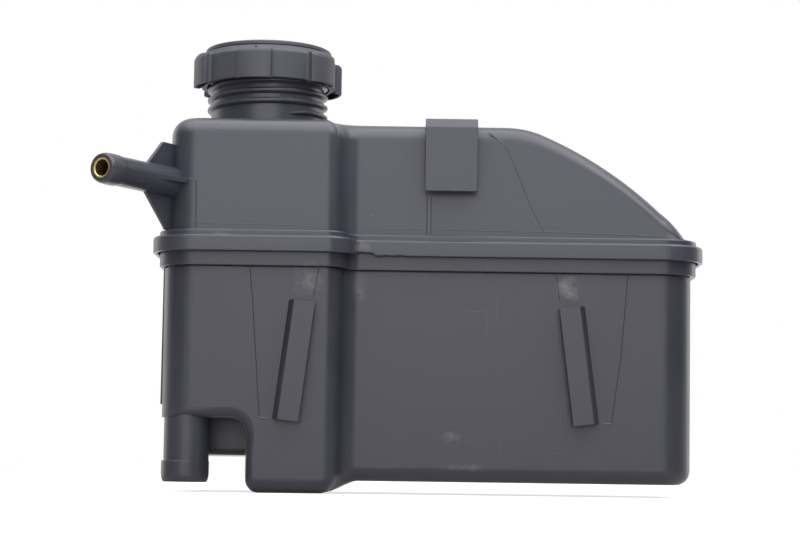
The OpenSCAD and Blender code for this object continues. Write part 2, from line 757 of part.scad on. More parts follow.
// Inverted cup that carries the seal and the valves. The cap turns on its boss.
tube_wall = 3.2;
seal_z = neck_top - 9;
seal_out_r = neck_bore / 2 - 0.05;
groove_r = seal_out_r - seal_d - 0.1;
tube_bottom = plate_from - insert_len;
vents = 3;
module cap_insert() {
    color(inner_grey) at_neck() difference() {
        union() {
            translate([0, 0, plate_from]) cylinder(h = plate_t, r = cap_thread_r - 0.3);
            translate([0, 0, plate_from]) cylinder(h = clip_from + clip_t + 0.1 - plate_from, r = boss_r);
            ring(insert_d / 2 - tube_wall, insert_d / 2, tube_bottom, plate_from + 0.1);
        }
        ring(groove_r, insert_d / 2 + cut, seal_z - seal_d / 2 - 0.15, seal_z + seal_d / 2 + 0.15);
        ring(boss_r - 0.8, boss_r + 1, clip_from, clip_from + clip_t);
        for (i = [0:vents - 1]) rotate([0, 0, 360 / vents * i])
            translate([14, 0, plate_from - cut]) cylinder(h = plate_t + 2 * cut, r = 1.5, $fn = 24);
    }
}

// Push-on ring that holds the insert in the cap
module insert_clip() {
    color(steel_grey) at_neck() difference() {
        ring(boss_r - 0.8, clip_r, clip_from, clip_from + clip_t);
        translate([boss_r - 2, -1.2, clip_from - cut]) cube([clip_r, 2.4, clip_t + 2 * cut]);
    }
}

module insert_seal() {
    color(rubber_black) at_neck() rotate_extrude()
        translate([seal_out_r - seal_d / 2, seal_z]) circle(d = seal_d, $fn = 32);
}

module neck_gasket() {
    color(rubber_black) at_neck()
        ring(neck_bore / 2 + 0.3, cap_thread_r - 0.5, plate_from - gasket_t, plate_from);
}

// Seat cup pushed into the bottom of the insert's tube
seat_flange_h = 3.5;
seat_spigot_h = 4;
seat_wall = 1.6;
seat_hole_r = 8;
seat_rim_h = 1.5;
seat_floor = 2;
seat_from = tube_bottom - seat_flange_h;
seat_rim_z = seat_from + seat_floor + seat_rim_h;
spigot_r = insert_d / 2 - tube_wall;
module valve_seat() {
    color(inner_grey) at_neck() rotate_extrude() polygon([
        [seat_hole_r, seat_from], [insert_d / 2 - 0.2, seat_from], [insert_d / 2 - 0.2, tube_bottom],
        [spigot_r, tube_bottom], [spigot_r, tube_bottom + seat_spigot_h],
        [spigot_r - seat_wall, tube_bottom + seat_spigot_h], [spigot_r - seat_wall, seat_from + seat_floor],
        [seat_hole_r + 1.2, seat_from + seat_floor], [seat_hole_r + 0.9, seat_rim_z], [seat_hole_r, seat_rim_z]
    ]);
}

// Pressure valve: rubber washer and plate, held down by the large spring
valve_gap = 0.1;
coil_gap = 0.1;
valve_seal_t = 1.4;
valve_r = 12.5;
valve_plate_t = 2;
relief_at = 3.9;
spring_r = 9.5;
valve_seal_from = seat_rim_z + valve_gap;
plate_bottom = valve_seal_from + valve_seal_t;
valve_top = plate_bottom + valve_plate_t;
suction_head_r = 5;
stem_r = 1.95;
module valve_seal() {
    color(rubber_black) at_neck() ring(suction_head_r + 0.6, valve_r - 1.5, valve_seal_from, plate_bottom);
}
guides = 3;
module valve_plate() {
    color(inner_grey) at_neck() difference() {
        union() {
            translate([0, 0, plate_bottom]) cylinder(h = valve_plate_t, r = valve_r);
            ring(6, 7, plate_bottom, valve_top + 2);
            for (i = [0:guides - 1]) rotate([0, 0, 60 + 360 / guides * i])
                translate([0, -2, plate_bottom]) cube([spigot_r - seat_wall - 0.35, 4, valve_plate_t]);
        }
        translate([0, 0, plate_bottom - cut]) cylinder(h = valve_plate_t + 3, r = stem_r + 0.05);
        for (i = [0:3]) rotate([0, 0, 90 * i])
            translate([relief_at, 0, plate_bottom - cut]) cylinder(h = valve_plate_t + 2 * cut, r = 0.7, $fn = 16);
    }
}
module valve_spring() {
    color(steel_grey) at_neck() coil(spring_r, spring_wire, valve_top + coil_gap, plate_from - coil_gap, spring_turns);
}

// Suction valve: a small mushroom that drops when the tank draws air
collar_rise = 4.6;
collar_from = valve_top + collar_rise;
collar_t = 1;
module suction_valve() {
    color(rubber_black) at_neck() {
        translate([0, 0, plate_bottom - 0.1 - 1.3]) cylinder(h = 1.3, r = suction_head_r);
        translate([0, 0, plate_bottom - 0.5]) cylinder(h = collar_from + collar_t - plate_bottom + 0.5, r = stem_r);
        translate([0, 0, collar_from]) cylinder(h = collar_t, r = 3.4);
    }
}
module suction_spring() {
    color(steel_grey) at_neck() coil(2.75, suction_wire, valve_top + coil_gap, collar_from - coil_gap, 5);
}

// Dipstick: a ring clipped under the seat, two arms and a notched blade
arm_drop = 12;
blade_marks = [12, 34];
module dipstick() {
    r = 13;
    color(stick_white) at_neck() difference() {
        union() {
            ring(r - 2.5, r + 2.5, seat_from - 1.5, seat_from);
            for (s = [-1, 1]) hull() {
                translate([s * r - 1, -blade_t / 2, seat_from - 1.5]) cube([2, blade_t, 1]);
                translate([s * (blade_w / 2 - 1) - 1, -blade_t / 2, seat_from - arm_drop]) cube([2, blade_t, 3]);
            }
            translate([-blade_w / 2, -blade_t / 2, blade_tip]) cube([blade_w, blade_t, seat_from - arm_drop + 3 - blade_tip]);
        }
        for (z = blade_marks) for (s = [-1, 1])
            translate([s * blade_w / 2, 0, blade_tip + z]) rotate([90, 0, 0]) cylinder(h = 10, r = 1, center = true);
    }
}

upper_shell();
lower_shell();
nipple_sleeve();
baffle_plate();
strainer_frame();
strainer_mesh();
cap_shell();
cap_disc();
cap_insert();
insert_clip();
insert_seal();
neck_gasket();
valve_seat();
valve_seal();
valve_plate();
valve_spring();
suction_valve();
suction_spring();
dipstick();
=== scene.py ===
"""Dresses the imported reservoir: moulded shells, screw cap, sleeve, marks of use, studio and camera.

Lengths inside the classes are millimetres in the model's own frame. They become metres when a mesh is
made. The studio's lamps and floor are in metres.
"""

import logging
import math
from collections.abc import Iterable, Sequence
from dataclasses import dataclass
from enum import Enum

import bmesh
import bpy
from mathutils import Matrix, Vector, noise

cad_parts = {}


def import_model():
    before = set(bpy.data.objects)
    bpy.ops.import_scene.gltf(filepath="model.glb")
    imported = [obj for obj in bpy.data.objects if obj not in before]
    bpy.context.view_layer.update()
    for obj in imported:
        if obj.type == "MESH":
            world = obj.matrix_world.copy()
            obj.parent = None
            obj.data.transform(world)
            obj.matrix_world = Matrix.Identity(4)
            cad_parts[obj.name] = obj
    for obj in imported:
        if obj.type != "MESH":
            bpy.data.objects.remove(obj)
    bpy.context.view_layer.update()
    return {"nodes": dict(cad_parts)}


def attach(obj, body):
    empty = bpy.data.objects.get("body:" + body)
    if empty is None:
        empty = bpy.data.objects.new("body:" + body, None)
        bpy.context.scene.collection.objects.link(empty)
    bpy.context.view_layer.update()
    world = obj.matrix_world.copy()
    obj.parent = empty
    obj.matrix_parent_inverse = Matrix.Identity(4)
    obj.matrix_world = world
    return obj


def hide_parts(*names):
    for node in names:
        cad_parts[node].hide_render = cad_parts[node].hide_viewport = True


LOG = logging.getLogger("reservoir")
MM = 0.001

Point2 = tuple[float, float]
Point3 = tuple[float, float, float]
Colour = tuple[float, float, float]


class Body(Enum):
    """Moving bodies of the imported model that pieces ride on."""

    TANK = "tank"
    CAP = "cap"


def arc(centre: Point2, radius: float, start: float, end: float, steps: int) -> list[Point2]:
    """Points along an arc.

    Args:
        centre: Centre of the arc.
        radius: Radius of the arc.
        start: First angle in degrees.
        end: Last angle in degrees.
        steps: Number of steps between them.

    Returns:
        The points, both ends included.
    """
    angles = [math.radians(start + (end - start) * i / steps) for i in range(steps + 1)]
    return [(centre[0] + radius * math.cos(a), centre[1] + radius * math.sin(a)) for a in angles]


def smooth(value: float) -> float:
    """S-shaped ramp from 0 to 1, flat at both ends."""
    t = min(max(value, 0.0), 1.0)
    return t * t * (3 - 2 * t)


def quarter(steps: int, first: int = 0) -> list[Point2]:
    """Points of a quarter round of radius 1.

    Args:
        steps: Number of steps from its foot to its top.
        first: Step to start with.

    Returns:
        How far each point lies behind the wall and how far under the top.
    """
    turns = [math.radians(90 * k / steps) for k in range(first, steps + 1)]
    return [(1 - math.cos(a), 1 - math.sin(a)) for a in turns]


def polar(radius: float, turn: float) -> Point2:
    """X and Y of a point at a radius and an angle in degrees."""
    a = math.radians(turn)
    return radius * math.cos(a), radius * math.sin(a)


def at(x: float, y: float = 0.0, z: float = 0.0) -> Matrix:
    """A move to a place."""
    return Matrix.Translation((x, y, z))


def turned(degrees: float, axis: str) -> Matrix:
    """A turn about an axis."""
    return Matrix.Rotation(math.radians(degrees), 4, axis)


class Solid:
    """Closed shapes in millimetres that end up as one mesh."""

    def __init__(self) -> None:
        """Starts with nothing in it."""
        self.points: list[Point3] = []
        self.faces: list[tuple[int, ...]] = []

    def add(self, points: Iterable[Point3], faces: Iterable[Sequence[int]]) -> "Solid":
        """Adds one closed shape.

        Args:
            points: Its corners.
            faces: Its faces, numbered from its own first corner.

        Returns:
            This solid, so that calls can follow each other.
        """
        start = len(self.points)
        self.points.extend((float(p[0]), float(p[1]), float(p[2])) for p in points)
        self.faces.extend(tuple(start + i for i in face) for face in faces)
        return self

    def loft(self, rings: Sequence[Sequence[Point3]], strips: bool = False) -> "Solid":
        """Adds a skin through rings of equal length, closed at both ends.

        Args:
            rings: The rings, in order.
            strips: True where a ring runs along the front and returns along the back, so that the
                ends close in straight strips from front to back.

        Returns:
            This solid.
        """
        size = len(rings[0])
        faces: list[tuple[int, ...]] = []
        for level in range(len(rings) - 1):
            low, high = level * size, (level + 1) * size
            for i in range(size):
                j = (i + 1) % size
                faces.append((low + i, low + j, high + j, high + i))
        for base in (0, (len(rings) - 1) * size):
            if strips:
                half = size // 2
                for i in range(half - 1):
                    faces.append((base + i, base + i + 1, base + size - 2 - i, base + size - 1 - i))
            else:
                faces.append(tuple(base + i for i in range(size)))
        return self.add([p for ring in rings for p in ring], faces)

    def revolve(self, profile: Sequence[Point2], place: Matrix, steps: int = 96,
                ring: bool = False) -> "Solid":
        """Adds a turned shape.

        Args:
            profile: Radius and height of each corner. A plain profile starts and ends at radius 0.
            place: Where the turned shape's own axis goes.
            steps: Number of steps round the axis.
            ring: True if the profile is a closed loop that never touches the axis.

        Returns:
            This solid.
        """
        points: list[Point3] = []
        rows: list[list[int]] = []
        for radius, height in profile:
            if radius < 1e-6:
                rows.append([len(points)] * steps)
                points.append(tuple(place @ Vector((0.0, 0.0, height))))
                continue
            rows.append([len(points) + k for k in range(steps)])
            for k in range(steps):
                points.append(tuple(place @ Vector((*polar(radius, 360 * k / steps), height))))
        faces: list[tuple[int, ...]] = []
        pairs = list(zip(rows, rows[1:] + rows[:1])) if ring else list(zip(rows, rows[1:]))
        for low, high in pairs:
            for k in range(steps):
                n = (k + 1) % steps
                corners = [low[k], low[n], high[n], high[k]]
                unique = list(dict.fromkeys(corners))
                if len(unique) >= 3:
                    faces.append(tuple(unique))
        return self.add(points, faces)

    def prism(self, outline: Sequence[Point2], depth: float, place: Matrix, edge: float = 0.0) -> "Solid":
        """Adds an outline with thickness, its edges rounded.

        Args:
            outline: Corners of the outline.
            depth: Thickness, along the outline's own Z.
            place: Where the outline's frame goes.
            edge: Radius of every edge.

        Returns:
            This solid.
        """
        mesh = bmesh.new()
        base = [mesh.verts.new((x, y, 0.0)) for x, y in outline]
        face = mesh.faces.new(base)
        made = bmesh.ops.extrude_face_region(mesh, geom=[face])
        moved = [item for item in made["geom"] if isinstance(item, bmesh.types.BMVert)]
        bmesh.ops.translate(mesh, verts=moved, vec=(0.0, 0.0, depth))
        bmesh.ops.recalc_face_normals(mesh, faces=mesh.faces)
        if edge > 0:
            bmesh.ops.bevel(mesh, geom=list(mesh.edges), offset=edge, segments=2, profile=0.5,
                            affect="EDGES", clamp_overlap=True)
        mesh.verts.index_update()
        points = [tuple(place @ v.co) for v in mesh.verts]
        faces = [[v.index for v in f.verts] for f in mesh.faces]
        mesh.free()
        return self.add(points, faces)

    def mesh_object(self, name: str, sharp: float = 32.0) -> bpy.types.Object:
        """Makes the mesh object, in metres, with smooth faces between its sharp edges.

        Args:
            name: Name of the object.
            sharp: Angle in degrees from which an edge stays sharp.

        Returns:
            The new object, linked to the scene.
        """
        data = bpy.data.meshes.new(name)
        data.from_pydata([(x * MM, y * MM, z * MM) for x, y, z in self.points], [], self.faces)
        work = bmesh.new()
        work.from_mesh(data)
        bmesh.ops.recalc_face_normals(work, faces=work.faces)
        work.to_mesh(data)
        work.free()
        item = bpy.data.objects.new(name, data)
        bpy.context.scene.collection.objects.link(item)
        shade(item, sharp)
        return item


def discard(item: bpy.types.Object) -> None:
    """Removes an object and its mesh."""
    spare = item.data
    bpy.data.objects.remove(item)
    bpy.data.meshes.remove(spare)


def shade(item: bpy.types.Object, sharp: float = 32.0) -> None:
    """Smooth shading with sharp edges from an angle in degrees."""
    item.data.shade_smooth()
    item.data.set_sharp_from_angle(angle=math.radians(sharp))


class Cut(Enum):
    """Ways to combine two closed meshes."""

    DIFFERENCE = "DIFFERENCE"
    UNION = "UNION"
    INTERSECT = "INTERSECT"


def combine(item: bpy.types.Object, other: bpy.types.Object, how: Cut, sharp: float = 32.0) -> None:
    """Combines a mesh with another, which is used up.

    Args:
        item: The object that stays.
        other: The object that is combined with it and removed.
        how: The operation.
        sharp: Angle in degrees from which an edge stays sharp.
    """
    step = item.modifiers.new("combine", "BOOLEAN")
    step.operation = how.value
    step.solver = "MANIFOLD"
    step.object = other
    graph = bpy.context.evaluated_depsgraph_get()
    result = bpy.data.meshes.new_from_object(item.evaluated_get(graph))
    item.modifiers.clear()
    old = item.data
    item.data = result
    bpy.data.meshes.remove(old)
    discard(other)
    if not result.vertices:
        raise RuntimeError(f"{item.name}: nothing left after {how.value}")
    shade(item, sharp)


def join(item: bpy.types.Object, solid: Solid, sharp: float = 32.0) -> None:
    """Adds more closed shapes to an object's mesh.

    Args:
        item: The object.
        solid: The shapes to add, in millimetres.
        sharp: Angle in degrees from which an edge stays sharp.
    """
    extra = solid.mesh_object(item.name + "_extra", sharp)
    work = bmesh.new()
    work.from_mesh(item.data)
    work.from_mesh(extra.data)
    work.to_mesh(item.data)
    work.free()
    discard(extra)
    shade(item, sharp)


@dataclass(frozen=True)
class TankPlan:
    """The tank seen from above and its heights, shared by both shells."""

    left: float = -53.5
    right: float = 175.5
    back: float = 54.0
    pod: float = -54.0
    main: float = -40.0
    corner: float = 14.0
    bend_x: float = 23.3
    bend_r: float = 7.7
    roof_top: float = 161.0
    seam: float = 107.0
    shoulder_len: float = 73.7
    shoulder_end: float = 2.1
    shoulder_r: float = 175.0
    lift: float = 5.6
    lower_draft: float = 0.5
    upper_draft: float = 1.3
    low_draft: float = 0.3
    wall: float = 3.0
    neck_x: float = -13.3
    corner_steps: int = 12
    bend_steps: int = 12
    stations: int = 40
    fine_len: float = 11.0
    fine_steps: int = 14

    def bend_inner(self) -> Point2:
        """Centre of the bend's inner arc."""
        turn = math.acos(1 - (self.main - self.pod) / (2 * self.bend_r))
        return self.bend_x + self.bend_r * math.sin(turn), self.main - self.bend_r

    def front_edge(self, inset: float) -> list[Point2]:
        """Front edge of the plan, left to right.

        Args:
            inset: How far the edge is drawn in from the wall at the seam.

        Returns:
            The points of the edge.
        """
        r = max(self.corner - inset, 0.6)
        r1, r2 = max(self.bend_r - inset, 0.2), self.bend_r + inset
        in_x, in_y = self.bend_inner()
        c1_y = self.pod + inset + r1
        turn = math.degrees(math.acos((c1_y - in_y) / (r1 + r2)))
        c1_x = in_x - (r1 + r2) * math.sin(math.radians(turn))
        end_x = self.right - inset - r
        points = arc((self.left + inset + r, self.pod + inset + r), r, 180, 270, self.corner_steps)
        points += arc((c1_x, c1_y), r1, 270, 270 + turn, self.bend_steps)
        points += arc((in_x, in_y), r2, 90 + turn, 90, self.bend_steps)[1:]
        fine = [self.fine_len * (i + 1) / self.fine_steps for i in range(self.fine_steps)]
        rest = end_x - in_x - self.fine_len
        coarse = [self.fine_len + rest * (i + 1) / self.stations for i in range(self.stations - 1)]
        points += [(in_x + d, self.main + inset) for d in fine + coarse]
        points += arc((end_x, self.main + inset + r), r, 270, 360, self.corner_steps)
        return points

    def ring(self, inset: float) -> list[Point2]:
        """Whole outline: along the front and back along the rear, each rear point behind its front point."""
        front = self.front_edge(inset)
        count = len(front)
        rear: list[Point2] = []
        for i in range(count - 1, -1, -1):
            x, y = front[i]
            if i <= self.corner_steps:
                rear.append((x, self.back - (y - self.pod)))
            elif i >= count - self.corner_steps - 1:
                rear.append((x, self.back - (y - self.main)))
            else:
                rear.append((x, self.back - inset))
        return front + rear

    def roof(self, x: float) -> float:
        """Height of the roof: flat, then falling along the shoulder's arc."""
        dz = self.roof_top - self.seam - self.shoulder_end
        chord = math.hypot(self.shoulder_len, dz)
        sag = math.sqrt(self.shoulder_r ** 2 - (chord / 2) ** 2)
        cx = self.right - self.shoulder_len / 2 - sag * dz / chord
        cz = self.roof_top - dz / 2 - sag * self.shoulder_len / chord
        if x < cx:
            return self.roof_top
        slope = cz + math.sqrt(self.shoulder_r ** 2 - min(x - cx, self.shoulder_r) ** 2)
        ease = 3.0
        gap = max(ease - abs(self.roof_top - slope), 0.0)
        return min(self.roof_top, slope) - gap * gap / (4 * ease)

    def floor(self, x: float) -> float:
        """Height of the floor: the foot, then a ramp up to the main floor."""
        start, end = self.bend_x - self.bend_r - 1.6, self.bend_x + self.bend_r
        return self.lift * smooth((x - start) / (end - start))

    def wall_inset(self, z: float) -> float:
        """How far the outer wall has leaned in at a height."""
        if z >= self.seam:
            low = self.seam - 14
            return self.lower_draft + self.upper_draft * (z - low) / (self.roof_top - 8 - low)
        return self.lower_draft * (self.seam - z) / (self.seam - 9)

    def face(self, x: float, z: float) -> float:
        """Y of the tank's front wall at a place seen from the front.

        Args:
            x: Place along the tank.
            z: Height.

        Returns:
            The wall's Y there.
        """
        edge = self.front_edge(self.wall_inset(z))
        for (x0, y0), (x1, y1) in zip(edge, edge[1:]):
            if x0 <= x <= x1 and x1 > x0:
                return y0 + (y1 - y0) * (x - x0) / (x1 - x0)
        return self.main

    def level(self, inset: float, z: float) -> list[Point3]:
        """A ring at one height."""
        return [(x, y, z) for x, y in self.ring(inset)]

    def low_share(self, index: int, count: int) -> float:
        """Share of the low end's steeper wall and sharper edge at one point of a ring."""
        along = min(index, count - 1 - index)
        first = count // 2 - 1 - self.corner_steps
        return math.sin(math.radians(90 * max(along - first, 0) / self.corner_steps))

    def under_roof(self, inset: float, radius: float, low_radius: float, angle: float,
                   drop: float) -> list[Point3]:
        """A ring along the roof's rounded edge.

        Args:
            inset: Inset of the wall at the seam.
            radius: Radius of the edge.
            low_radius: Radius of the edge across the low end.
            angle: How far up the rounding the ring lies, in degrees.
            drop: How far the whole skin lies under the roof.

        Returns:
            The ring.
        """
        back, up = 1 - math.cos(math.radians(angle)), 1 - math.sin(math.radians(angle))
        wide = self.ring(inset + self.upper_draft + radius * back)
        narrow = self.ring(inset + self.low_draft + low_radius * back)
        points: list[Point3] = []
        for i, ((wide_x, wide_y), (near_x, near_y)) in enumerate(zip(wide, narrow)):
            share = self.low_share(i, len(wide))
            x = wide_x + (near_x - wide_x) * share
            y = wide_y + (near_y - wide_y) * share
            points.append((x, y, self.roof(x) - drop - (radius + (low_radius - radius) * share) * up))
        return points

    def over_floor(self, inset: float, rise: float) -> list[Point3]:
        """A ring that follows the floor, at a rise above it."""
        return [(x, y, self.floor(x) + rise) for x, y in self.ring(inset)]


class Nodes:
    """Short way to write a shader's nodes."""

    def __init__(self, tree: bpy.types.NodeTree) -> None:
        """Clears the tree and keeps it."""
        self.tree = tree
        self.tree.nodes.clear()

    def add(self, kind: str, settings: dict[str, object] | None = None, **inputs: object) -> bpy.types.Node:
        """Adds a node.

        Args:
            kind: Type name of the node.
            settings: Values of its options.
            inputs: Values or sockets for its inputs. An underscore in a name stands for a space, and
                i with a number stands for the input of that number.

        Returns:
            The new node.
        """
        node = self.tree.nodes.new(kind)
        for key, value in (settings or {}).items():
            setattr(node, key, value)
        for key, value in inputs.items():
            name = key.replace("_", " ")
            socket = node.inputs[int(name[1:]) if name[1:].isdigit() else name]
            if isinstance(value, bpy.types.NodeSocket):
                self.tree.links.new(value, socket)
            else:
                socket.default_value = value
        return node

    def maths(self, operation: str, a: object, b: object = 0.0, clamp: bool = False) -> bpy.types.NodeSocket:
        """A calculation with one or two numbers."""
        node = self.add("ShaderNodeMath", {"operation": operation, "use_clamp": clamp}, i0=a, i1=b)
        return node.outputs[0]

    def ramp(self, value: object, low: float, high: float, to_low: float = 0.0,
             to_high: float = 1.0) -> bpy.types.NodeSocket:
        """A number carried from one range to another, held at the ends."""
        node = self.add("ShaderNodeMapRange", {"clamp": True}, Value=value, From_Min=low, From_Max=high,
                        To_Min=to_low, To_Max=to_high)
        return node.outputs[0]

    def noise(self, place: object, scale: float, detail: float = 3.0,
              rough: float = 0.55) -> bpy.types.NodeSocket:
        """Cloudy noise between 0 and 1."""
        node = self.add("ShaderNodeTexNoise", None, Vector=place, Scale=scale, Detail=detail, Roughness=rough)
        return node.outputs["Fac"]

    def streaks(self, place: object, scale: Point3, turn: Point3) -> bpy.types.NodeSocket:
        """Thin hairs: noise drawn out along one axis and turned."""
        drawn = self.add("ShaderNodeMapping", None, Vector=place, Rotation=turn, Scale=scale).outputs[0]
        return self.ramp(self.noise(drawn, 1.0, 2.0), 0.70, 0.76)

    def mix(self, factor: object, a: object, b: object) -> bpy.types.NodeSocket:
        """Two colours mixed."""
        node = self.add("ShaderNodeMix", {"data_type": "RGBA"})
        for socket, value in ((node.inputs["Factor"], factor), (node.inputs[6], a), (node.inputs[7], b)):
            if isinstance(value, bpy.types.NodeSocket):
                self.tree.links.new(value, socket)
            else:
                socket.default_value = value
        return node.outputs[2]

    def relief_shader(self, colour: object, height: object, bump: Point2, **inputs: object) -> bpy.types.Node:
        """A surface shader with fine relief.

        Args:
            colour: Base colour.
            height: Height of the relief.
            bump: Strength and depth of the relief, the depth in metres.
            inputs: Further inputs of the shader.

        Returns:
            The shader's node.
        """
        relief = self.add("ShaderNodeBump", None, Strength=bump[0], Distance=bump[1], Height=height)
        return self.add("ShaderNodeBsdfPrincipled", None, Base_Color=colour, Normal=relief.outputs[0],
                        **inputs)

    def show(self, shader: bpy.types.Node, kind: str = "ShaderNodeOutputMaterial") -> None:
        """Sends a shader to the output."""
        self.tree.links.new(shader.outputs[0], self.add(kind).inputs[0])


@dataclass(frozen=True)
class Scuff:
    """A chalky rub mark: an oval patch of streaks on a shell."""

    centre: Point3
    half: Point3
    strength: float = 0.5
    turn: float = 0.0
    grain: float = 260.0


UPPER_SCUFFS = (
    Scuff((31.0, -45.0, 105.0), (5.0, 6.0, 3.4), 0.2),
    Scuff((-28.0, -58.0, 109.5), (5.0, 4.0, 1.4), 0.3),
)
LOWER_SCUFFS = (
    Scuff((9.0, -54.0, 91.0), (6.5, 5.0, 7.5), 0.18),
    Scuff((121.5, -40.0, 90.5), (6.0, 5.0, 6.0), 0.3, 20.0, 180.0),
    Scuff((31.0, -42.0, 90.0), (4.0, 5.0, 9.0), 0.12),
    Scuff((71.0, -40.0, 25.0), (5.0, 5.0, 2.6), 0.16),
    Scuff((76.0, -40.0, 12.0), (9.0, 5.0, 2.2), 0.14),
)


@dataclass(frozen=True)
class Finish:
    """What all finishes share: a name, a base colour and a material made once."""

    name: str
    colour: Colour

    def surface(self, nodes: Nodes, place: object) -> bpy.types.Node:
        """The shader of the finish, which each kind writes itself."""
        raise NotImplementedError

    def material(self) -> bpy.types.Material:
        """The finish's material, made when it is first asked for."""
        made = bpy.data.materials.get(self.name)
        if made is None:
            made = bpy.data.materials.new(self.name)
            made.use_nodes = True
            nodes = Nodes(made.node_tree)
            nodes.show(self.surface(nodes, nodes.add("ShaderNodeTexCoord").outputs["Object"]))
            made.diffuse_color = (*self.colour, 1.0)
        return made


@dataclass(frozen=True)
class PlasticFinish(Finish):
    """Moulded plastic with a fine grain, cloudy handling marks, hair scratches and chalky rubs."""

    pale: Colour
    roughness: float
    cloud: float
    scratch: float
    dust: float = 0.2
    scuffs: tuple[Scuff, ...] = ()
    grain: float = 0.12
    chalk: Colour = (0.40, 0.40, 0.41)
    ior: float = 1.49
    gloss_tint: Colour = (0.95, 0.95, 1.0)

    def surface(self, nodes: Nodes, place: object) -> bpy.types.Node:
        """The plastic's shader."""
        cloud = nodes.noise(place, 34.0, 4.0)
        patch = nodes.ramp(nodes.noise(place, 21.0, 2.0), 0.46, 0.66)
        hair = nodes.maths("MAXIMUM", nodes.streaks(place, (1400.0, 1400.0, 26.0), (0.0, 0.22, 0.0)),
                           nodes.streaks(place, (30.0, 1500.0, 1500.0), (0.0, 0.5, 0.1)))
        hair = nodes.maths("MULTIPLY", hair, patch)
        dots = nodes.ramp(nodes.noise(place, 420.0, 3.0, 0.7), 0.74, 0.80)
        wear = nodes.maths("MULTIPLY", hair, self.scratch)
        wear = nodes.maths("MAXIMUM", wear, nodes.maths("MULTIPLY", dots, self.dust))
        for scuff in self.scuffs:
            wear = nodes.maths("MAXIMUM", wear, self._rub(nodes, place, scuff))
        tint = nodes.ramp(cloud, 0.30, 0.72, 0.0, self.cloud)
        colour = nodes.mix(tint, (*self.colour, 1.0), (*self.pale, 1.0))
        colour = nodes.mix(wear, colour, (*self.chalk, 1.0))
        rough = nodes.ramp(cloud, 0.25, 0.75, self.roughness - 0.05, self.roughness + 0.07)
        rough = nodes.maths("ADD", rough, nodes.maths("MULTIPLY", wear, 0.25), True)
        height = nodes.maths("ADD", nodes.maths("MULTIPLY", nodes.noise(place, 900.0, 2.0), self.grain),
                             nodes.maths("MULTIPLY", hair, -0.25 * self.scratch))
        return nodes.relief_shader(colour, height, (0.55, 0.0002), Roughness=rough, IOR=self.ior,
                                      Specular_Tint=(*self.gloss_tint, 1.0))

    @staticmethod
    def _rub(nodes: Nodes, place: object, scuff: Scuff) -> bpy.types.NodeSocket:
        """Mask of one chalky patch.

        Args:
            nodes: The shader's nodes.
            place: Coordinates of the surface.
            scuff: The patch.

        Returns:
            Its strength at each place.
        """
        move = nodes.add("ShaderNodeMapping", {"vector_type": "TEXTURE"}, Vector=place,
                         Location=tuple(v * MM for v in scuff.centre),
                         Rotation=(0.0, math.radians(scuff.turn), 0.0),
                         Scale=tuple(v * MM for v in scuff.half)).outputs[0]
        far = nodes.add("ShaderNodeVectorMath", {"operation": "LENGTH"}, i0=move).outputs["Value"]
        ragged = nodes.maths("ADD", far, nodes.ramp(nodes.noise(place, 120.0, 4.0), 0.3, 0.7, -0.35, 0.35))
        inside = nodes.ramp(ragged, 0.35, 1.0, 1.0, 0.0)
        dusty = nodes.ramp(nodes.noise(place, scuff.grain, 5.0, 0.7), 0.36, 0.66)
        return nodes.maths("MULTIPLY", nodes.maths("MULTIPLY", inside, dusty), scuff.strength)


@dataclass(frozen=True)
class MetalFinish(Finish):
    """Drawn or spring metal with a dull, fine-grained surface."""

    roughness: float
    brushed: float = 0.15

    def surface(self, nodes: Nodes, place: object) -> bpy.types.Node:
        """The metal's shader."""
        stain = nodes.noise(place, 380.0, 4.0)
        darker = tuple(0.62 * v for v in self.colour)
        colour = nodes.mix(nodes.ramp(stain, 0.35, 0.75, 0.0, 0.6), (*self.colour, 1.0), (*darker, 1.0))
        rough = nodes.ramp(stain, 0.3, 0.7, self.roughness - 0.06, self.roughness + 0.12)
        return nodes.relief_shader(colour, nodes.noise(place, 2600.0, 2.0), (self.brushed, 0.0001),
                                      Roughness=rough, Metallic=1.0)


@dataclass(frozen=True)
class RubberFinish(Finish):
    """Soft black rubber with a faint bloom."""

    roughness: float = 0.62

    def surface(self, nodes: Nodes, place: object) -> bpy.types.Node:
        """The rubber's shader."""
        bloom = nodes.ramp(nodes.noise(place, 260.0, 4.0), 0.4, 0.75, 0.0, 0.7)
        paler = tuple(v + 0.03 for v in self.colour)
        colour = nodes.mix(bloom, (*self.colour, 1.0), (*paler, 1.0))
        return nodes.relief_shader(colour, nodes.noise(place, 1800.0), (0.2, 0.0001),
                                      Roughness=self.roughness)


def dress(item: bpy.types.Object, finish: Finish, body: Body, replaced: str = "") -> None:
    """Gives a piece its material and body, evens its normals and hides the node that it stands for.

    Args:
        item: The piece.
        finish: Its finish.
        body: The body that it rides on.
        replaced: Name of the node that it stands for, if any.
    """
    item.data.materials.clear()
    item.data.materials.append(finish.material())
    settle = item.modifiers.new("settle", "WEIGHTED_NORMAL")
    settle.keep_sharp = True
    settle.weight = 100
    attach(item, body.value)
    if replaced:
        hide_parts(replaced)
    LOG.info("%s: %d faces on %s", item.name, len(item.data.polygons), body.value)


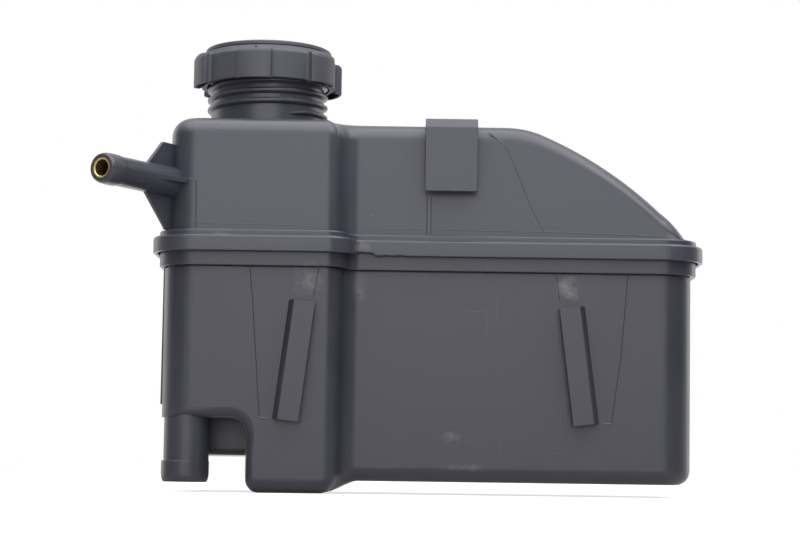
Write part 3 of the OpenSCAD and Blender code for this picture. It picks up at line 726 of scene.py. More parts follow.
@dataclass
class UpperShell:
    """The upper moulding: roof, shoulder, skirt, neck, nipple, gussets and hook."""

    plan: TankPlan
    finish: PlasticFinish
    sleeve_finish: MetalFinish
    roof_r: float = 8.0
    low_edge_r: float = 2.5
    skirt_out: float = 5.2
    skirt_wall: float = 1.9
    skirt_low: float = 102.0
    skirt_top: float = 109.0
    skirt_r: float = 1.3
    tear_from: float = 21.0
    tear_to: float = 60.0
    crumb_depth: float = 0.6
    bite_from: float = 28.6
    bite_to: float = 37.2
    bite_depth: float = 1.45
    bead_out: float = 2.5
    bead_top: float = 111.5
    bead_r: float = 0.8
    roof_steps: int = 12
    throat_r: float = 24.0
    neck_r: float = 25.55
    neck_bore: float = 22.2
    neck_top: float = 190.0
    neck_fillet: float = 1.3
    crest_r: float = 27.35
    pitch: float = 4.6
    thread_from: float = 168.7
    thread_turns: float = 4.07
    thread_angle: float = 298.0
    nipple_turn: float = 31.0
    nipple_z: float = 132.3
    nipple_len: float = 48.0
    nipple_bore: float = 3.35
    gusset_t: float = 1.7
    hook_left: float = 58.35
    hook_w: float = 22.7

    def chip(self, x: float, y: float) -> float:
        """How much of the skirt's lower edge has broken away at a place along the front."""
        if y > 0 or not self.tear_from < x < self.tear_to:
            return 0.0
        crumb = noise.noise(Vector((x * 0.9, 3.1, 0.0))) + 0.6 * noise.noise(Vector((x * 2.6, 7.7, 0.0)))
        fade = smooth((self.tear_to - x) / 14) * smooth((x - self.tear_from) / 3)
        bite = smooth((x - self.bite_from) / 1.2) * smooth((self.bite_to - x) / 0.9)
        ragged = noise.noise(Vector((x * 0.75, 0.4, 1.7))) + 0.6 * noise.noise(Vector((x * 2.4, 5.2, 0.3)))
        return bite * (self.bite_depth + 0.8 * ragged) + self.crumb_depth * max(0.0, crumb) * fade

    def roof_rings(self) -> list[list[Point3]]:
        """The roof's rounded edge, kept from dipping under the bead where the shoulder meets it."""
        plan, low = self.plan, self.bead_top + 0.05
        rings: list[list[Point3]] = []
        for k in range(self.roof_steps + 1):
            angle = 90 * k / self.roof_steps
            ring = plan.under_roof(plan.lower_draft, self.roof_r, self.low_edge_r, angle, 0.0)
            rings.append([(x, y, max(z, low + 0.03 * k)) for x, y, z in ring])
        return rings

    def skirt_rings(self) -> list[list[Point3]]:
        """The skirt with its torn lower edge, and the bead over it."""
        plan, low, top = self.plan, self.skirt_low, self.skirt_top
        out, back, bead = -self.skirt_out, -self.skirt_out + self.skirt_wall, -self.bead_out
        edge = [(back, low + 0.3), (back - 0.3, low), (out + 0.4, low), (out + 0.1, low + 0.15),
                (out, low + 0.5)]
        rings = [plan.level(back, plan.seam)]
        rings += [[(x, y, z + self.chip(x, y)) for x, y in plan.ring(inset)] for inset, z in edge]
        rings.append(plan.level(out, low + 3.4))
        rings += [plan.level(out + self.skirt_r * b, top - self.skirt_r * up) for b, up in quarter(5)]
        rings += [plan.level(bead - 0.35, top), plan.level(bead, top + 0.3)]
        top = self.bead_top
        rings += [plan.level(bead + self.bead_r * b, top - self.bead_r * up) for b, up in quarter(4)]
        return rings

    def skin(self) -> bpy.types.Object:
        """The shell itself, open below, with its skirt, bead and rounded roof."""
        plan, inner, steps = self.plan, self.plan.lower_draft + self.plan.wall, 8
        rings = [plan.under_roof(inner, self.roof_r - self.plan.wall, 0.5, 90 * k / steps, self.plan.wall)
                 for k in range(steps, -1, -1)]
        rings.append(plan.level(inner + 0.3, plan.seam))
        rings += self.skirt_rings()
        foot = plan.wall_inset(self.bead_top)
        rings += [plan.level(foot - 0.5, self.bead_top), plan.level(foot - 0.12, self.bead_top + 0.2)]
        rings.append([(x, y, min(self.bead_top + 0.7, plan.roof(x) - 0.02)) for x, y in plan.ring(foot)])
        rings += self.roof_rings()
        body = Solid().loft(rings, strips=True).mesh_object("upper_shell_moulding")
        below, above = plan.roof_top - 11, plan.roof_top + 9
        profile = [(0, below), (self.throat_r, below), (self.throat_r, above), (0, above)]
        hole = Solid().revolve(profile, at(self.plan.neck_x))
        combine(body, hole.mesh_object("neck_hole"), Cut.DIFFERENCE)
        return body

    def neck(self) -> Solid:
        """The filler neck with a fillet at its foot and a rounded rim."""
        r, bore, top, roof = self.neck_r, self.neck_bore, self.neck_top, self.plan.roof_top
        profile: list[Point2] = [(bore, roof - 3.2), (r, roof - 3.2)]
        profile += [(r + self.neck_fillet * up, roof + self.neck_fillet * back) for back, up in quarter(5)]
        profile += [(r, top - 0.5), (r - 0.5, top), (bore + 0.5, top), (bore, top - 0.5)]
        return Solid().revolve(profile, at(self.plan.neck_x), 128, ring=True)

    def thread(self) -> Solid:
        """The coarse thread, a rounded ridge that starts with a short pointed wedge."""
        steps = 60
        count = round(self.thread_turns * steps)
        half = 1.5
        crown = self.crest_r - self.neck_r
        flank = [(-0.6, half + 0.2), (0.0, half), (crown * 0.55, half * 0.62), (crown * 0.93, half * 0.36)]
        section = [(out, -up) for out, up in flank] + [(crown, 0.0)] + flank[::-1]
        rings: list[list[Point3]] = []
        for i in range(count + 1):
            z = self.thread_from + self.pitch * i / steps
            fade = min(1.0, (count - i) / 10, 0.3 + i / 2)
            rise = min(1.0, 0.35 + i / 5)
            ring = []
            for out, up in section:
                r = self.neck_r + (out if out < 0 else out * fade)
                x, y = polar(r, self.thread_angle + 360 * i / steps)
                ring.append((self.plan.neck_x + x, y, z - half + (up + half) * rise))
            rings.append(ring)
        return Solid().loft(rings)

    def gusset_frame(self) -> Matrix:
        """Frame at the nipple's root, its Y back along the nipple's axis."""
        return at(self.plan.left + 3, self.plan.pod + 8, self.nipple_z) @ turned(-self.nipple_turn, "Z")

    def nipple_frame(self) -> Matrix:
        """Frame at the nipple's root, its Z along the nipple's axis."""
        return self.gusset_frame() @ turned(90, "X")

    def nipple(self) -> Solid:
        """The hose nipple with its barb, step and open mouth, and a faint parting line along it."""
        tip = self.nipple_len
        bore, mouth, middle = self.nipple_bore, 4.6, 6.32
        root = [(bore, -12), (6.9, -12), (6.85, 1.0), (6.75, 6.0), (6.5, 15.0), (6.3, 22.0)]
        barb = [(6.27, tip - 11.5), (middle, tip - 9.6), (6.55, tip - 8.6), (6.62, tip - 7.8),
                (6.6, tip - 4.4), (6.42, tip - 1.8), (6.2, tip - 0.9), (5.95, tip - 0.3), (5.6, tip)]
        inside = [(4.72, tip), (4.62, tip - 0.15), (mouth, tip - 0.4), (mouth, 28.0), (bore, 28.0)]
        solid = Solid().revolve(root + barb + inside, self.nipple_frame(), 80, ring=True)
        line = [(-0.3, -0.3), (0.3, -0.3), (0.12, 0.12), (-0.12, 0.12)]
        for turn in (75.0, 255.0):
            solid.prism(line, 22.0, self.nipple_frame() @ turned(turn, "Z") @ at(0, middle, 17))
        return solid

    def gussets(self) -> Solid:
        """Two upright and two level plates that brace the nipple."""
        t = self.gusset_t
        level = self.gusset_frame() @ at(0, 0, -t / 2)
        upright = self.gusset_frame() @ turned(-90, "Y") @ at(0, 0, -t / 2)
        over = [(5, 10), (16.7, 10), (16.7, -8.0), (6.0, -18.4), (5, -18.4)]
        under = [(-5, 10), (-20.8, 10), (-20.8, -4.8), (-19.9, -5.4), (-6.0, -19.6), (-5, -19.6)]
        solid = Solid()
        solid.prism(over, t, upright, 0.3)
        solid.prism(under, t, upright, 0.3)
        solid.prism([(5, 8), (9.7, 8), (9.7, -2.4), (6.4, -16.0), (5, -16.0)], t + 0.4, level, 0.2)
        solid.prism([(-5, 6), (-13, 6), (-6.1, -13.0), (-5, -13.0)], t + 0.2, level, 0.3)
        return solid

    def hook(self) -> Solid:
        """The hook for a bracket's tab: a tongue with a bevelled top, open below."""
        front, face, top = -45.8, -38.7, 162.4
        low, under = top - 32.0, top - 5.4
        outline = [(front, low), (front, top - 4.0), (front + 2.2, top), (face + 10, top),
                   (face + 10, top - 10.4), (face + 1, top - 9.4), (face + 1, under), (front + 2.5, under),
                   (front + 2.5, low)]
        place = Matrix(((0, 0, 1, self.hook_left), (1, 0, 0, 0), (0, 1, 0, 0), (0, 0, 0, 1)))
        return Solid().prism(outline, self.hook_w, place, 0.35)

    def seam_lines(self) -> Solid:
        """Fine raised lines that the mould's inserts left on the upper front wall."""
        return SeamLine(self.plan).ridges((
            ([(-42.8, 133.2), (-39.7, 133.0), (-39.4, 120.0), (-39.4, 112.2)], 0.5, 0.13),
            ([(-44.0, 114.2), (-30.0, 114.0), (4.0, 113.9)], 0.4, 0.1),
            ([(59.4, 128.5), (59.4, 112.0)], 0.45, 0.13),
            ([(61.2, 128.5), (61.2, 112.0)], 0.35, 0.1),
            ([(86.0, 157.5), (93.5, 151.8), (99.0, 139.0), (105.0, 124.0), (110.8, 113.0)], 0.5, 0.12),
            ([(32.0, 114.6), (60.0, 114.4), (118.0, 114.0), (165.0, 112.6)], 0.4, 0.1)))

    def sleeve(self) -> bpy.types.Object:
        """The brass sleeve in the nipple's mouth, its edge slightly rolled."""
        tip = self.nipple_len
        profile = [(self.nipple_bore, tip - 20), (4.58, tip - 20), (4.58, tip - 0.3), (4.4, tip), (3.75, tip),
                   (3.5, tip - 0.2), (3.36, tip - 0.6)]
        drawn = Solid().revolve(profile, self.nipple_frame(), 64, ring=True)
        return drawn.mesh_object("nipple_sleeve_drawn", 40)

    def build(self) -> None:
        """Makes the moulding and its sleeve."""
        body = self.skin()
        for part in (self.neck, self.thread, self.nipple, self.gussets, self.hook, self.seam_lines):
            join(body, part())
        dress(body, self.finish, Body.TANK, "upper_shell")
        dress(self.sleeve(), self.sleeve_finish, Body.TANK, "nipple_sleeve")


@dataclass(frozen=True)
class SeamLine:
    """Draws fine ridges on the tank's front wall."""

    plan: TankPlan

    def ridge(self, solid: Solid, path: Sequence[Point2], width: float, height: float) -> None:
        """Adds one ridge that follows the wall.

        Args:
            solid: Where the ridge goes.
            path: Corners of the line, as X and Z.
            width: Width of the ridge.
            height: Height of the ridge.
        """
        samples: list[Point2] = []
        for (x0, z0), (x1, z1) in zip(path, path[1:]):
            count = max(2, int(math.hypot(x1 - x0, z1 - z0) / 2.5))
            samples += [(x0 + (x1 - x0) * i / count, z0 + (z1 - z0) * i / count) for i in range(count)]
        samples.append(path[-1])
        rings: list[list[Point3]] = []
        for i, (x, z) in enumerate(samples):
            ahead = samples[min(i + 1, len(samples) - 1)]
            behind = samples[max(i - 1, 0)]
            run = Vector((ahead[0] - behind[0], ahead[1] - behind[1])).normalized()
            side = Vector((-run.y, run.x)) * width / 2
            ring = []
            for k, out in ((-1.0, -0.25), (-1.0, 0.0), (0.0, height), (1.0, 0.0), (1.0, -0.25)):
                px, pz = x + side.x * k, z + side.y * k
                ring.append((px, self.plan.face(px, pz) - out, pz))
            rings.append(ring)
        solid.loft(rings)

    def ridges(self, lines: Iterable[tuple[Sequence[Point2], float, float]]) -> Solid:
        """All the ridges of one shell.

        Args:
            lines: Path, width and height of each ridge.

        Returns:
            The ridges.
        """
        solid = Solid()
        for path, width, height in lines:
            self.ridge(solid, path, width, height)
        return solid


@dataclass
class LowerShell:
    """The lower moulding: band, bend, sump, notch, outlet stub, rails and rib."""

    plan: TankPlan
    finish: PlasticFinish
    floor_r: float = 6.2
    band_out: float = 2.2
    band_low: float = 96.0
    groove: float = 1.3
    notch_edge: float = -16.4
    notch_front: float = 31.6
    notch_rear: float = 16.0
    notch_depth: float = 29.0
    notch_r: float = 7.0
    notch_rear_r: float = 0.8
    foot_r: float = 6.0
    mouth_r: float = 4.4
    lobe_r: float = 15.0
    outlet_x: float = -42.6
    outlet_y: float = -42.0
    outlet_turn: float = -188.0
    outlet_bore: float = 6.6
    outlet_r: float = 10.2
    shank_r: float = 9.65
    shank_shift: float = 0.39
    rail_len: float = 51.0
    far: float = 90.0

    def bowl(self, inset: float, base: float, radius: float, steps: int) -> list[list[Point3]]:
        """Rings of a rounded edge at the floor, from the bottom up.

        Args:
            inset: Inset of the wall above it.
            base: How far the form's bottom lies over the floor.
            radius: Radius of the edge.
            steps: Number of steps round it.

        Returns:
            The rings.
        """
        return [self.plan.over_floor(inset + radius * back, base + radius * up)
                for back, up in reversed(quarter(steps))]

    def outer(self) -> bpy.types.Object:
        """The closed outside form."""
        plan, low, out = self.plan, self.band_low, -self.band_out
        rings = self.bowl(plan.lower_draft, 0.0, self.floor_r, 12)
        edge = [(plan.wall_inset(low), low - 0.55), (self.groove, low - 0.5), (self.groove, low),
                (out + 0.5, low), (out + 0.12, low + 0.15), (out, low + 0.5), (out, plan.seam)]
        rings += [plan.level(inset, z) for inset, z in edge]
        return Solid().loft(rings, strips=True).mesh_object("lower_shell_moulding")

    def inner(self) -> bpy.types.Object:
        """The closed form of the hollow."""
        plan, wall = self.plan, self.plan.wall
        rings = self.bowl(wall + plan.lower_draft, wall, self.floor_r - wall, 5)
        rings.append(plan.level(wall, plan.seam + 1))
        return Solid().loft(rings, strips=True).mesh_object("lower_hollow")

    def arch(self, ceiling: float, corner: float, grow: float) -> list[Point2]:
        """Outline of the notch seen from the front, as X and Z."""
        edge, top, r = self.notch_edge + grow, ceiling + grow, corner + grow
        foot = (self.notch_edge + self.foot_r, self.foot_r)
        points = [(-self.far, -20.0), (self.notch_edge + 0.8 * self.foot_r, -20.0)]
        points += arc(foot, self.foot_r - grow, 260, 180, 9)
        points += arc((edge - r, top - r), r, 0, 90, 10)
        return points + [(-self.far, top)]

    def tunnel(self, name: str, ceiling: float, corner: float, grow: float,
               stops: Sequence[Point2]) -> bpy.types.Object:
        """A void along Y whose outline grows towards its mouth.

        Args:
            name: Name of the object.
            ceiling: Height of the ceiling.
            corner: Radius between the ceiling and the sump's wall.
            grow: Growth of the whole void.
            stops: Y and extra growth of each ring.

        Returns:
            The void.
        """
        rings = [[(x, y, z) for x, z in self.arch(ceiling, corner, grow + more)] for y, more in stops]
        return Solid().loft(rings).mesh_object(name)

    def lobe_void(self, name: str, grow: float, edge: float) -> bpy.types.Object:
        """The void in front of the rear lobe, from above the lobe's underside to the ceiling.

        Args:
            name: Name of the object.
            grow: Growth of the void.
            edge: Radius of the lobe's lower edge.

        Returns:
            The void.
        """
        cx, cy = self.plan.left + self.lobe_r, self.plan.pod + self.notch_depth + self.lobe_r
        stops = [(-20.0, edge), (self.notch_rear, edge)]
        stops += [(self.notch_rear + edge * back, edge * up) for back, up in quarter(6, 1)]
        stops.append((60.0, 0.0))
        rings = []
        for z, more in stops:
            r = self.lobe_r - grow - more
            points = [(-self.far, cy), (-self.far, -self.far), (0.0, -self.far), (0.0, cy - r)]
            points += arc((cx, cy), r, 270, 180, 12)
            rings.append([(x, y, z) for x, y in points])
        return Solid().loft(rings).mesh_object(name)

    def notch(self, grow: float) -> bpy.types.Object:
        """The whole void of the notch, for the outside or for the hollow."""
        face = self.plan.pod + self.plan.wall_inset(self.notch_front)
        end = self.plan.pod + self.notch_depth + self.lobe_r
        stops: list[Point2] = [(-self.far, 0.0), (end, 0.0)]
        if grow == 0.0:
            stops = [(-self.far, self.mouth_r), (face, self.mouth_r)]
            stops += [(face + self.mouth_r * back, self.mouth_r * up) for back, up in quarter(8, 1)]
            stops.append((end, 0.0))
        front = self.tunnel("front_void", self.notch_front, self.notch_r, grow, stops)
        combine(front, self.lobe_void("lobe_void", grow, 3.0 if grow == 0.0 else 0.2), Cut.INTERSECT)
        through = [(-self.far, 0.0), (self.far, 0.0)]
        rear = self.tunnel("rear_void", self.notch_rear, self.notch_rear_r, grow, through)
        combine(front, rear, Cut.UNION)
        return front

    def stub(self) -> Solid:
        """The bottom outlet: shank, barb and a parting line down its front."""
        wide, bore, shank_r = self.outlet_r, self.outlet_bore, self.shank_r
        place = at(self.outlet_x, self.outlet_y)
        moved = at(self.outlet_x + self.shank_shift, self.outlet_y - self.shank_shift)
        barb = [(bore, 4.6), (bore + 0.4, 4.2), (wide - 1.2, 4.2), (wide - 0.75, 4.5), (wide - 0.45, 5.0),
                (wide - 0.1, 6.3), (wide, 7.4), (wide, 13.0), (wide - 0.15, 13.2), (bore, 13.2)]
        shank = [(7.4, 11.0), (shank_r, 11.0), (shank_r, 34.3), (7.4, 34.3)]
        solid = Solid().revolve(barb, place, 72, ring=True).revolve(shank, moved, 72, ring=True)
        line = [(-0.28, -0.4), (0.28, -0.4), (0.1, 0.16), (-0.1, 0.16)]
        for base, out, low, length in ((moved, shank_r - 0.03, 13.0, 17.0), (place, wide - 0.1, 5.6, 7.5)):
            solid.prism(line, length, base @ at(0, 0, low) @ turned(self.outlet_turn, "Z") @ at(0, out))
        return solid

    def rail(self, x: float, y: float, side: float) -> Solid:
        """One bracket rail: a leaning plate on a web, with a sloped flank on the outer side.

        Args:
            x: Outer foot of the rail.
            y: The face that it stands on.
            side: 1 for the left rail, -1 for its mirror image on the right.

        Returns:
            The rail.
        """
        outline = [(-2.0, 1.2), (0.0, -4.4), (0.8, -5.2), (9.8, -5.2), (9.8, -3.4), (2.2, -3.4), (2.2, 1.2)]
        outline = [(side * px, py) for px, py in outline]
        if side < 0:
            outline.reverse()
        return Solid().prism(outline, self.rail_len, at(x, y, 31.0) @ turned(7 * side, "Y"), 0.28)

    def rib(self) -> Solid:
        """The thin rib down the left wall."""
        outline = [(-55.1, -31.5), (-53.0, -31.5), (-53.0, -29.3), (-55.1, -29.3)]
        return Solid().prism(outline, 59.0, at(0, 0, 37.5), 0.25)

    def seam_lines(self) -> Solid:
        """Fine raised lines round the rails that the mould's inserts left."""
        return SeamLine(self.plan).ridges((
            ([(-15.8, 95.6), (-14.6, 84.0), (-10.6, 32.4)], 0.4, 0.12),
            ([(-10.2, 31.4), (-6.2, 31.3)], 0.9, 0.2),
            ([(13.6, 95.6), (11.4, 83.0)], 0.4, 0.12),
            ([(136.2, 31.2), (139.4, 31.3)], 0.9, 0.2),
            ([(139.6, 31.2), (143.6, 60.0), (146.6, 95.4)], 0.4, 0.12),
            ([(115.6, 95.4), (117.2, 84.0)], 0.35, 0.1),
            ([(-41.6, 94.6), (-41.2, 36.0)], 0.3, 0.07)))

    def build(self) -> None:
        """Makes the moulding."""
        body = self.outer()
        combine(body, self.notch(0.0), Cut.DIFFERENCE)
        hollow = self.inner()
        combine(hollow, self.notch(self.plan.wall), Cut.DIFFERENCE)
        combine(body, hollow, Cut.DIFFERENCE)
        bore = Solid().revolve([(0, 2), (self.outlet_bore, 2), (self.outlet_bore, 36), (0, 36)],
                               at(self.outlet_x, self.outlet_y))
        combine(body, bore.mesh_object("outlet_hole"), Cut.DIFFERENCE)
        rails = (self.rail(-3.5, self.plan.pod, 1.0), self.rail(132.6, self.plan.main, -1.0))
        for extra in (self.stub(), *rails, self.rib(), self.seam_lines()):
            join(body, extra)
        dress(body, self.finish, Body.TANK, "lower_shell")


@dataclass
class Cap:
    """The screw cap: a lobed grip with hollow lobes, a sloping shoulder and a snapped-in disc."""

    plan: TankPlan
    finish: PlasticFinish
    low: float = 181.6
    lobe_hang: float = 1.0
    core_top: float = 194.6
    lobe_top: float = 195.3
    deck: float = 197.4
    core_r: float = 30.5
    crown_r: float = 34.4
    face_r: float = 21.6
    deck_r: float = 28.8
    bore: float = 27.9
    ceiling: float = 194.3
    lobe_count: int = 6
    lobe_turn: float = -7.6
    lobe_arch: float = 1.0
    crown_round: float = 2.1
    lobe_half: float = 13.5
    fillet_r: float = 1.3
    edge_r: float = 0.8
    boss_r: float = 10.0
    disc_r: float = 28.6
    top: float = 200.0
    sharp: float = 28.0

    def face(self, turn: float) -> float:
        """Radius of a lobe's curved face at an angle in degrees from the lobe's middle."""
        middle = self.crown_r - self.face_r
        a = math.radians(turn)
        return middle * math.cos(a) + math.sqrt(self.face_r ** 2 - (middle * math.sin(a)) ** 2)

    def lobe_outline(self) -> list[Point2]:
        """Half of one lobe and its neighbouring recess: angle from the lobe's middle and radius."""
        half_pitch = 180 / self.lobe_count
        steps = 8
        corner_r = self.face(self.lobe_half) - self.edge_r
        round_turn = math.degrees(self.edge_r / corner_r)
        foot_r = self.core_r + self.fillet_r
        foot_turn = math.degrees(self.fillet_r / foot_r)
        flat = self.lobe_half - round_turn
        points = [(flat * i / steps, self.face(flat * i / steps)) for i in range(steps)]
        points += [(flat + round_turn * (1 - up), corner_r + self.edge_r * (1 - back))
                   for back, up in quarter(4)]
        points += [(self.lobe_half + foot_turn * back, foot_r - self.fillet_r * (1 - up))
                   for back, up in quarter(4)]
        start = self.lobe_half + foot_turn
        points += [(start + (half_pitch - start) * (i + 1) / 6, self.core_r) for i in range(6)]
        return points

    def outline(self) -> list[Point2]:
        """The whole grip from above: angle from straight ahead and radius."""
        half = self.lobe_outline()
        whole = [(-turn, r) for turn, r in half[:0:-1]] + half[:-1]
        pitch = 360 / self.lobe_count
        return [(self.lobe_turn + pitch * n + turn, r) for n in range(self.lobe_count) for turn, r in whole]

    def level(self, core: float, share: float, z: float, hang: float = 0.0,
              rise: float = 0.0) -> list[Point3]:
        """One ring of the grip.

        Args:
            core: Radius between the lobes.
            share: How far the lobes stand out of it, from 0 to 1.
            z: Height of the ring.
            hang: How much lower the lobes' points lie.
            rise: How much higher the middle of each lobe lies.

        Returns:
            The ring.
        """
        ring: list[Point3] = []
        pitch = 360 / self.lobe_count
        for turn, radius in self.outline():
            r = core + (radius - self.core_r) * share
            lobe = smooth((radius - self.core_r) / 1.2)
            off = (turn - self.lobe_turn + pitch / 2) % pitch - pitch / 2
            arch = max(0.0, math.cos(math.radians(90 * off / (self.lobe_half + 1.5))))
            x, y = polar(r, turn - 90)
            ring.append((self.plan.neck_x + x, y, z - hang * lobe + rise * arch))
        return ring

    def grip_rings(self) -> list[list[Point3]]:
        """Rings of the grip from its hollow's mouth over the lobes to the deck."""
        foot, hang, core = self.low + self.lobe_hang, self.lobe_hang, self.core_r
        rings = [self.level(self.bore - 2, 0.0, foot), self.level(self.bore + 1.6, 0.0, foot),
                 self.level(core - 0.5, 0.9, foot, hang), self.level(core - 0.12, 0.99, foot + 0.05, hang),
                 self.level(core, 1.0, foot + 0.3, hang),
                 self.level(core, 1.0, self.lobe_top - self.crown_round - 0.2)]
        slope = (core - self.deck_r) / (self.deck - self.core_top)
        tops = [(self.lobe_top - self.crown_round * up, 1 - 0.55 * back) for back, up in quarter(6)]
        for z, share in [*tops, (self.lobe_top + 0.02, 0.0)]:
            over = z - self.core_top
            rise = self.lobe_arch * min(1.0, max(0.0, over + 0.3) / 0.8)
            rings.append(self.level(core - slope * max(0.0, over + 0.05), share, z, 0.0, rise))
        rings.append(self.level(self.deck_r + 0.1, 0.0, self.deck - 0.1))
        rings.append(self.level(self.deck_r - 0.1, 0.0, self.deck))
        return rings

    def grip(self) -> bpy.types.Object:
        """The grip ring with its shoulder, hollow below, and a small arrow pressed into one lobe."""
        body = Solid().loft(self.grip_rings()).mesh_object("cap_grip", self.sharp)
        bore, ceiling, axis = self.bore, self.ceiling, at(self.plan.neck_x)
        hollow = [(0, 170), (bore, 170), (bore, ceiling - 1), (bore - 1, ceiling), (0, ceiling)]
        boss = [(0, ceiling - 4), (self.boss_r, ceiling - 4), (self.boss_r, self.top), (0, self.top)]
        arrow_z = self.lobe_top + self.lobe_arch - 1.2
        mark = axis @ at(0, 0, arrow_z) @ turned(self.lobe_turn + 1.5, "Z") @ at(0, -self.crown_r - 0.5)
        voids = [Solid().revolve(hollow, axis, 144), Solid().revolve(boss, axis, 64)]
        voids += [self.pocket(index) for index in range(self.lobe_count)]
        voids.append(Solid().prism([(-1.0, 0.0), (1.0, 0.0), (0.0, 2.4)], 2.0, mark))
        for void in voids:
            combine(body, void.mesh_object("cap_void"), Cut.DIFFERENCE, self.sharp)
        return body

    def pocket(self, index: int) -> Solid:
        """The hollow under one lobe, which leaves a thin wall round it."""
        centre = self.lobe_turn + 360 / self.lobe_count * index - 90
        outer: list[Point2] = []
        inner: list[Point2] = []
        for k in range(11):
            off = (2 * k - 10) * 1.1
            for side, radius in ((outer, self.face(off) - 1.1), (inner, self.bore + 1.3)):
                x, y = polar(radius, centre + off)
                side.append((self.plan.neck_x + x, y))
        return Solid().prism(outer + inner[::-1], 11.0, at(0, 0, self.low - 1))

    def disc(self) -> bpy.types.Object:
        """The disc on top, slightly crowned, with a rounded rim."""
        r, low, top = self.disc_r, self.deck + 0.3, self.top
        profile = [(0.0, top - 1.3), (24.0, top - 1.3), (24.0, low), (r - 0.15, low), (r, low + 0.15),
                   (r, top - 1.2)]
        profile += [(r - 1.1 * back, top - 0.3 - 0.9 * up) for back, up in quarter(6, 1)]
        profile += [(22.0, top - 0.12), (12.0, top - 0.02), (0.0, top)]
        return Solid().revolve(profile, at(self.plan.neck_x), 144).mesh_object("cap_disc_crowned", 30)

    def build(self) -> None:
        """Makes the grip and the disc."""
        dress(self.grip(), self.finish, Body.CAP, "cap_shell")
        dress(self.disc(), self.finish, Body.CAP, "cap_disc")


@dataclass
class HiddenParts:
    """Finishes for the model's own pieces that sit inside the tank and the cap."""

    finishes: Sequence[tuple[Finish, Sequence[str]]]

    def build(self, nodes: dict[str, bpy.types.Object]) -> None:
        """Puts each finish on its pieces.

        Args:
            nodes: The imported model's pieces by name.
        """
        for finish, names in self.finishes:
            for name in names:
                for place in nodes[name].material_slots:
                    place.material = finish.material()
                LOG.info("%s: %s", name, finish.name)


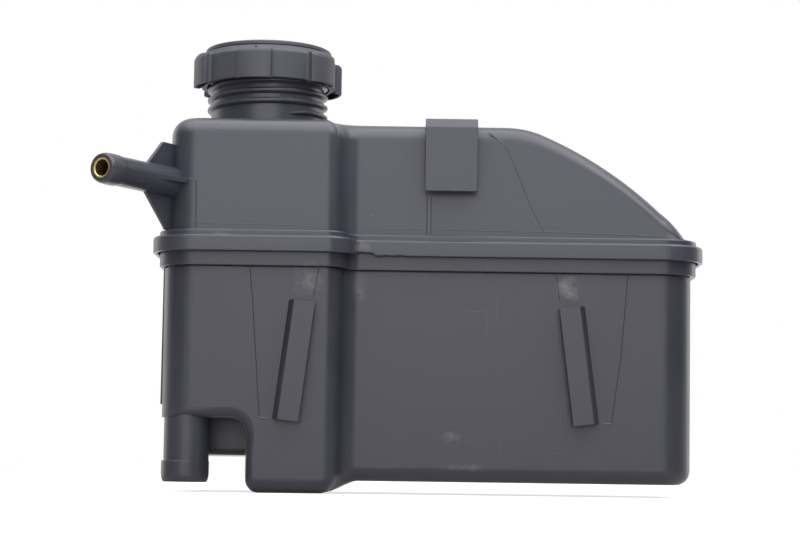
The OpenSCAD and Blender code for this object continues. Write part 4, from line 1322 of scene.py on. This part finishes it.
@dataclass
class Studio:
    """Pale floor, white surround, soft lamps and the camera."""

    focal: float = 90.0
    camera_at: Point3 = (48.0, -900.0, 8.4)
    pitch: float = 5.95
    roll: float = 0.8
    floor_half: float = 6.0

    def camera(self) -> None:
        """Sets the camera at the photograph's place and angle."""
        data = bpy.data.cameras.new("camera")
        data.lens = self.focal
        data.sensor_width = 36.0
        data.clip_start = 0.01
        item = bpy.data.objects.new("camera", data)
        bpy.context.scene.collection.objects.link(item)
        place = at(*(v * MM for v in self.camera_at))
        item.matrix_world = place @ turned(90 + self.pitch, "X") @ turned(self.roll, "Z")
        bpy.context.scene.camera = item

    def floor(self) -> None:
        """A plain pale floor that shows white where no shadow falls."""
        half = self.floor_half
        data = bpy.data.meshes.new("floor")
        corners = [(-half, -half, 0), (half, -half, 0), (half, half, 0), (-half, half, 0)]
        data.from_pydata(corners, [], [(0, 1, 2, 3)])
        item = bpy.data.objects.new("floor", data)
        bpy.context.scene.collection.objects.link(item)
        made = bpy.data.materials.new("floor_paper")
        made.use_nodes = True
        nodes = Nodes(made.node_tree)
        place = nodes.add("ShaderNodeTexCoord").outputs["Object"]
        tone = nodes.mix(nodes.noise(place, 3.0), (0.50, 0.50, 0.50, 1.0), (0.52, 0.52, 0.52, 1.0))
        paper = nodes.add("ShaderNodeBsdfDiffuse", None, Color=tone)
        far = nodes.add("ShaderNodeVectorMath", {"operation": "LENGTH"}, i0=place).outputs["Value"]
        split = nodes.add("ShaderNodeSeparateXYZ", None, Vector=place)
        path = nodes.add("ShaderNodeLightPath")
        mirrored = nodes.ramp(split.outputs["Y"], -0.06, 0.05)
        mirrored = nodes.maths("MULTIPLY", mirrored, path.outputs["Is Glossy Ray"])
        seen = nodes.maths("MAXIMUM", path.outputs["Is Camera Ray"], path.outputs["Is Transmission Ray"])
        direct = nodes.maths("MULTIPLY", nodes.ramp(far, 0.3, 1.2, 0.68, 1.0), seen)
        glow = nodes.add("ShaderNodeEmission", None, Strength=nodes.maths("MAXIMUM", mirrored, direct))
        nodes.show(nodes.add("ShaderNodeAddShader", None, i0=paper.outputs[0], i1=glow.outputs[0]))
        data.materials.append(made)

    def surround(self) -> None:
        """White behind the object, dim at the sides, seen white by the camera."""
        world = bpy.data.worlds.new("surround")
        bpy.context.scene.world = world
        world.use_nodes = True
        nodes = Nodes(world.node_tree)
        place = nodes.add("ShaderNodeTexCoord").outputs["Generated"]
        split = nodes.add("ShaderNodeSeparateXYZ", None, Vector=place)
        behind = nodes.ramp(split.outputs["Y"], 0.05, 0.50, 0.05, 1.0)
        above = nodes.ramp(split.outputs["Z"], 0.35, 0.60, 0.0, 1.0)
        glossy = nodes.maths("MAXIMUM", behind, above)
        path = nodes.add("ShaderNodeLightPath")
        level = nodes.maths("MULTIPLY", glossy, path.outputs["Is Glossy Ray"])
        level = nodes.maths("MAXIMUM", level, nodes.maths("MULTIPLY", path.outputs["Is Diffuse Ray"], 0.18))
        level = nodes.maths("MAXIMUM", level, path.outputs["Is Camera Ray"])
        level = nodes.maths("MAXIMUM", level, path.outputs["Is Transmission Ray"])
        white = nodes.add("ShaderNodeBackground", None, Color=(1.0, 1.0, 1.0, 1.0), Strength=level)
        nodes.show(white, "ShaderNodeOutputWorld")

    def lamp(self, name: str, place: Point3, aim: Point3, size: Point2, power: float) -> None:
        """A large soft lamp.

        Args:
            name: Name of the lamp.
            place: Its place in metres.
            aim: The point that it faces, in metres.
            size: Its width and height in metres.
            power: Its power in watts.
        """
        data = bpy.data.lights.new(name, "AREA")
        data.shape = "RECTANGLE"
        data.size, data.size_y = size
        data.energy = power
        item = bpy.data.objects.new(name, data)
        bpy.context.scene.collection.objects.link(item)
        item.location = place
        item.rotation_euler = (Vector(aim) - Vector(place)).to_track_quat("-Z", "Y").to_euler()

    def build(self) -> None:
        """Makes the whole studio."""
        self.camera()
        self.floor()
        self.surround()
        self.lamp("front_lamp", (0.0, -1.6, 0.42), (0.03, 0.0, 0.09), (1.45, 1.2), 12.9)
        self.lamp("top_lamp", (0.03, -0.35, 1.15), (0.03, 0.0, 0.12), (1.9, 1.5), 26.0)
        self.lamp("right_top_lamp", (1.0, -0.45, 0.95), (0.1, 0.0, 0.12), (0.75, 0.75), 4.0)
        self.lamp("left_rim_lamp", (-1.0, 0.75, 0.3), (0.0, 0.0, 0.1), (0.4, 0.9), 1.3)
        self.lamp("right_rim_lamp", (1.1, 0.75, 0.3), (0.1, 0.0, 0.1), (0.4, 0.9), 1.3)
        bpy.context.scene.view_settings.view_transform = "Standard"


def keep_size() -> None:
    """Brings the view layer up to date.
    """
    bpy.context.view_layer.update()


def main() -> None:
    """Builds the dressed object and its studio."""
    logging.basicConfig(level=logging.INFO, format="%(name)s: %(message)s")
    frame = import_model()
    plan = TankPlan()
    brass = MetalFinish("dull_brass", (0.62, 0.47, 0.24), 0.36)
    # One plastic in two copies: the upper shell's lighter base colour is painted light and the lower shell's
    # darker one is painted shade, for the light from above that the upper shell's draft faces and the lower
    # shell's draft turns from.
    upper = PlasticFinish("upper_plastic_painted_light", (0.038, 0.039, 0.052), (0.055, 0.056, 0.070), 0.32, 0.45,
                          0.13, scuffs=UPPER_SCUFFS)
    lower = PlasticFinish("lower_plastic_painted_shade", (0.027, 0.028, 0.037), (0.041, 0.042, 0.052), 0.33, 0.45,
                          0.12, scuffs=LOWER_SCUFFS)
    cap = PlasticFinish("cap_plastic_matt", (0.046, 0.047, 0.059), (0.062, 0.063, 0.076), 0.5, 0.35, 0.15)
    inner = PlasticFinish("inner_plastic", (0.10, 0.10, 0.105), (0.13, 0.13, 0.135), 0.5, 0.3, 0.1)
    insert = PlasticFinish("insert_plastic", (0.08, 0.08, 0.085), (0.11, 0.11, 0.115), 0.5, 0.3, 0.1)
    stick = PlasticFinish("dipstick_plastic", (0.75, 0.73, 0.66), (0.66, 0.63, 0.55), 0.5, 0.5, 0.1, dust=0.0)
    steel = MetalFinish("spring_steel", (0.6, 0.61, 0.63), 0.28)
    gauze = MetalFinish("steel_gauze", (0.55, 0.56, 0.58), 0.4, 0.4)
    rubber = RubberFinish("seal_rubber", (0.03, 0.03, 0.03))

    Studio().build()
    UpperShell(plan, upper, brass).build()
    LowerShell(plan, lower).build()
    Cap(plan, cap).build()
    HiddenParts((
        (inner, ("baffle_plate", "strainer_frame")),
        (insert, ("cap_insert", "valve_seat", "valve_plate")),
        (stick, ("dipstick",)),
        (steel, ("insert_clip", "valve_spring", "suction_spring")),
        (gauze, ("strainer_mesh",)),
        (rubber, ("insert_seal", "neck_gasket", "valve_seal", "suction_valve")),
    )).build(frame["nodes"])
    keep_size()


if __name__ == "__main__":
    main()
